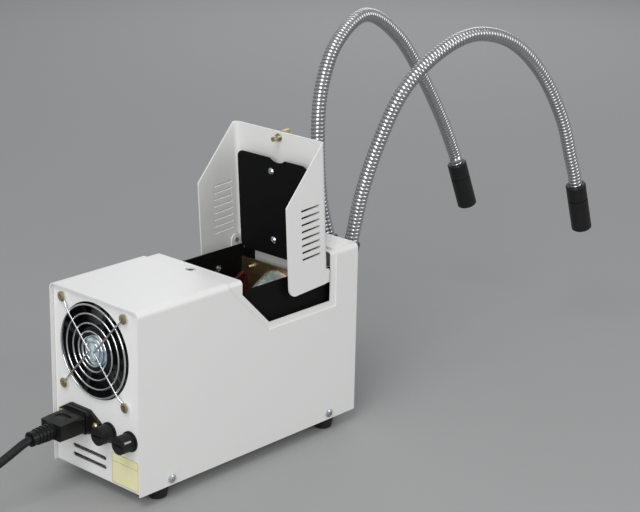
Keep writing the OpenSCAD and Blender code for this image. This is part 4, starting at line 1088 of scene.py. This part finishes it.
@dataclass
class RearMarks:
    """The fan's blank hub sticker and a painted highlight on a fuse cap: a light grey strip where the
    cap's side catches the light.
    """

    hub: tuple[float, float, float] = (2.3 * MM, 118.3 * MM, 115.5 * MM)
    sticker_r: float = 12.5 * MM
    sticker_t: float = 0.15 * MM
    sticker_wall: float = 0.7           # how much of the thickness is straight edge
    sticker_ring: float = 0.3           # the innermost ring, as a share of the radius
    sticker_around: int = 72
    cap: tuple[float, float] = (-37.4 * MM, 53.0 * MM)
    cap_r: float = 7.36 * MM
    highlight_y: tuple[float, float] = (131.0 * MM, 124.6 * MM)
    highlight_turn: float = 151.0
    highlight_span: float = 11.0
    highlight_t: float = 0.2 * MM
    highlight_points: int = 9

    def build(self, wardrobe: Wardrobe) -> None:
        """Lays the sticker as a thin turned disc and the painted highlight as a thin, light grey bowed
        plate, whose point is cap + r (cos a, sin a) at depth y.

        Args:
            wardrobe: the finishes.
        """
        r, thick = self.sticker_r, self.sticker_t
        profile = [(r, 0), (r, thick * self.sticker_wall), (r - thick, thick),
                   (r * self.sticker_ring, thick)]
        sticker = lathe("hub_sticker", profile, self.hub, (0, 1, 0), self.sticker_around)
        wardrobe.dress(sticker, Finish.HUB_STICKER)
        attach(sticker, CHASSIS)
        # painted highlight: a light grey bowed band standing for the shine along the fuse cap's side
        n = self.highlight_points
        turn = np.radians(self.highlight_turn + self.highlight_span * np.linspace(-0.5, 0.5, n))
        ring = np.concatenate([turn, turn[::-1]])
        radius = np.concatenate([np.full(n, self.cap_r), np.full(n, self.cap_r - self.highlight_t)])
        x, z = self.cap[0] + radius * np.cos(ring), self.cap[1] + radius * np.sin(ring)
        rows = [np.stack([x, np.full(2 * n, y), z], axis=1) for y in self.highlight_y]
        strip = mesh_object("fuse_cap_painted_highlight", np.concatenate(rows), capped(2, 2 * n),
                            crease=BOWED_CREASE)
        wardrobe.dress(strip, Finish.CAP_PAINTED_HIGHLIGHT)
        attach(strip, FUSE_LEFT)


@dataclass
class TipRings:
    """The bright ring round the fibres in one light guide tip's end, in millimetres."""

    tip: Point
    aim: Point
    side: str
    length: float = 48.0
    recess: float = 2.0
    inner_r: float = 3.5
    outer_r: float = 4.9
    rise: float = 0.9
    edge: float = 0.2
    around: int = 56

    def build(self, wardrobe: Wardrobe) -> None:
        """Turns the ring about the tip's axis.

        Args:
            wardrobe: the finishes.
        """
        down = unit(np.array(self.aim, float))
        seat = (np.array(self.tip) + (self.length - self.recess) * down) * MM
        i, o, h, e = (v * MM for v in (self.inner_r, self.outer_r, self.rise, self.edge))
        section = [(i, 0), (o, 0), (o, h - e), (o - e, h), (i + e, h), (i, h - e)]
        ring = lathe(f"tip_ring_{self.side}", section, seat, down, self.around, closed=True)
        wardrobe.dress(ring, Finish.STEEL)
        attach(ring, GUIDE)


@dataclass
class DialMarks:
    """Printed ticks round the intensity knob, without numbers, in millimetres."""

    centre: tuple[float, float, float]
    count: int = 11
    sweep: float = 280.0
    reach: tuple[float, float] = (16.2, 19.2)
    width: float = 0.7
    thick: float = 0.06

    def build(self, wardrobe: Wardrobe) -> None:
        """Prints the ticks as one mesh of thin plates, each turned by its share of the sweep:
        point = centre + r out + t over + d rise, with out and over turned about the knob's axis.

        Args:
            wardrobe: the finishes.
        """
        turn = np.radians(90 + self.sweep * np.linspace(-0.5, 0.5, self.count))
        flat = np.zeros(self.count)
        out = np.stack([np.cos(turn), flat, np.sin(turn)], axis=1)[:, None, :]
        over = np.stack([-np.sin(turn), flat, np.cos(turn)], axis=1)[:, None, :]
        rise = np.array([0, -1.0, 0])
        (r0, r1), half = self.reach, self.width / 2
        face = [(r0, -half), (r1, -half), (r1, half), (r0, half)]
        plate = np.array([(*corner, d) for d in (0.0, self.thick) for corner in face])
        r, t, d = (plate[:, k, None] for k in range(3))
        points = np.array(self.centre) + r * out + t * over + d * rise
        faces = [[len(plate) * k + v for v in f] for k in range(self.count) for f in capped(2, 4)]
        ticks = mesh_object("dial_ticks", points.reshape(-1, 3) * MM, faces, smooth=False)
        wardrobe.dress(ticks, Finish.PRINT)
        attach(ticks, CHASSIS)


@dataclass
class Carried:
    """The CAD nodes that show as they are, each with its finish."""

    wearers: Mapping[Finish, str] = field(default_factory=lambda: {
        Finish.WHITE: "cover base_pan hinge_brackets lamp_door",
        Finish.PANEL_WHITE: "rear_panel front_panel front_bulkhead",
        Finish.HEAT_BLACK: "door_heat_shield lamp_compartment",
        Finish.BLACK: "fan_frame fan_rotor power_inlet fuse_holders fuse_cap_left fuse_cap_right "
                      "intensity_knob switch_housing power_rocker guide_connector tip_left "
                      "tip_right cord_tie",
        Finish.SOFT_BLACK: "cord_connector mains_plug cord_run cord_coil",
        Finish.RUBBER: "feet",
        Finish.STEEL: "foot_screws cover_screws door_hinge_pins shield_spacers shield_screws "
                      "door_nut compartment_screws lamp_bracket_screw knob_shaft port_lock_screw",
        Finish.CHROME: "fan_guard gooseneck_left gooseneck_right",
        Finish.BRASS: "door_thumb_screw fan_screws inlet_screws",
        Finish.BRONZE: "lamp_bracket",
        Finish.ALLOY: "potentiometer light_port",
        Finish.CORE: "transformer_core",
        Finish.MIRROR_BOWL: "lamp_reflector",
        Finish.QUARTZ: "lamp_capsule",
        Finish.CERAMIC: "lamp_socket",
        Finish.YELLOW_LABEL: "rear_label",
        Finish.TAPE: "transformer_coil",
        Finish.BOARD: "control_board",
        Finish.FIBRE: "fibre_bundle_left fibre_bundle_right",
    })

    def build(self, wardrobe: Wardrobe) -> None:
        """Dresses every CAD node.

        Args:
            wardrobe: the finishes.
        """
        finish_of = {node: finish for finish, nodes in self.wearers.items() for node in nodes.split()}
        for name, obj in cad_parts.items():
            wardrobe.dress(obj, finish_of[name])


def main() -> None:
    """Builds the object's looks around the frame, in order."""
    logging.basicConfig(level=logging.INFO, format="%(name)s: %(message)s")
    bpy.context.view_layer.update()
    Studio().build()
    wardrobe = Wardrobe()
    Carried().build(wardrobe)
    MainsCord().build(wardrobe)
    Gooseneck("arm_left", "gooseneck_left", -1, LEFT_BENDS, LEFT_TIP, LEFT_AIM).build(wardrobe)
    Gooseneck("arm_right", "gooseneck_right", 1, RIGHT_BENDS, RIGHT_TIP, RIGHT_AIM).build(wardrobe)
    TipRings(LEFT_TIP, LEFT_AIM, "left").build(wardrobe)
    TipRings(RIGHT_TIP, RIGHT_AIM, "right").build(wardrobe)
    Leads().build(wardrobe)
    RearMarks().build(wardrobe)
    DialMarks(KNOB_CENTRE).build(wardrobe)


if __name__ == "__main__":
    main()
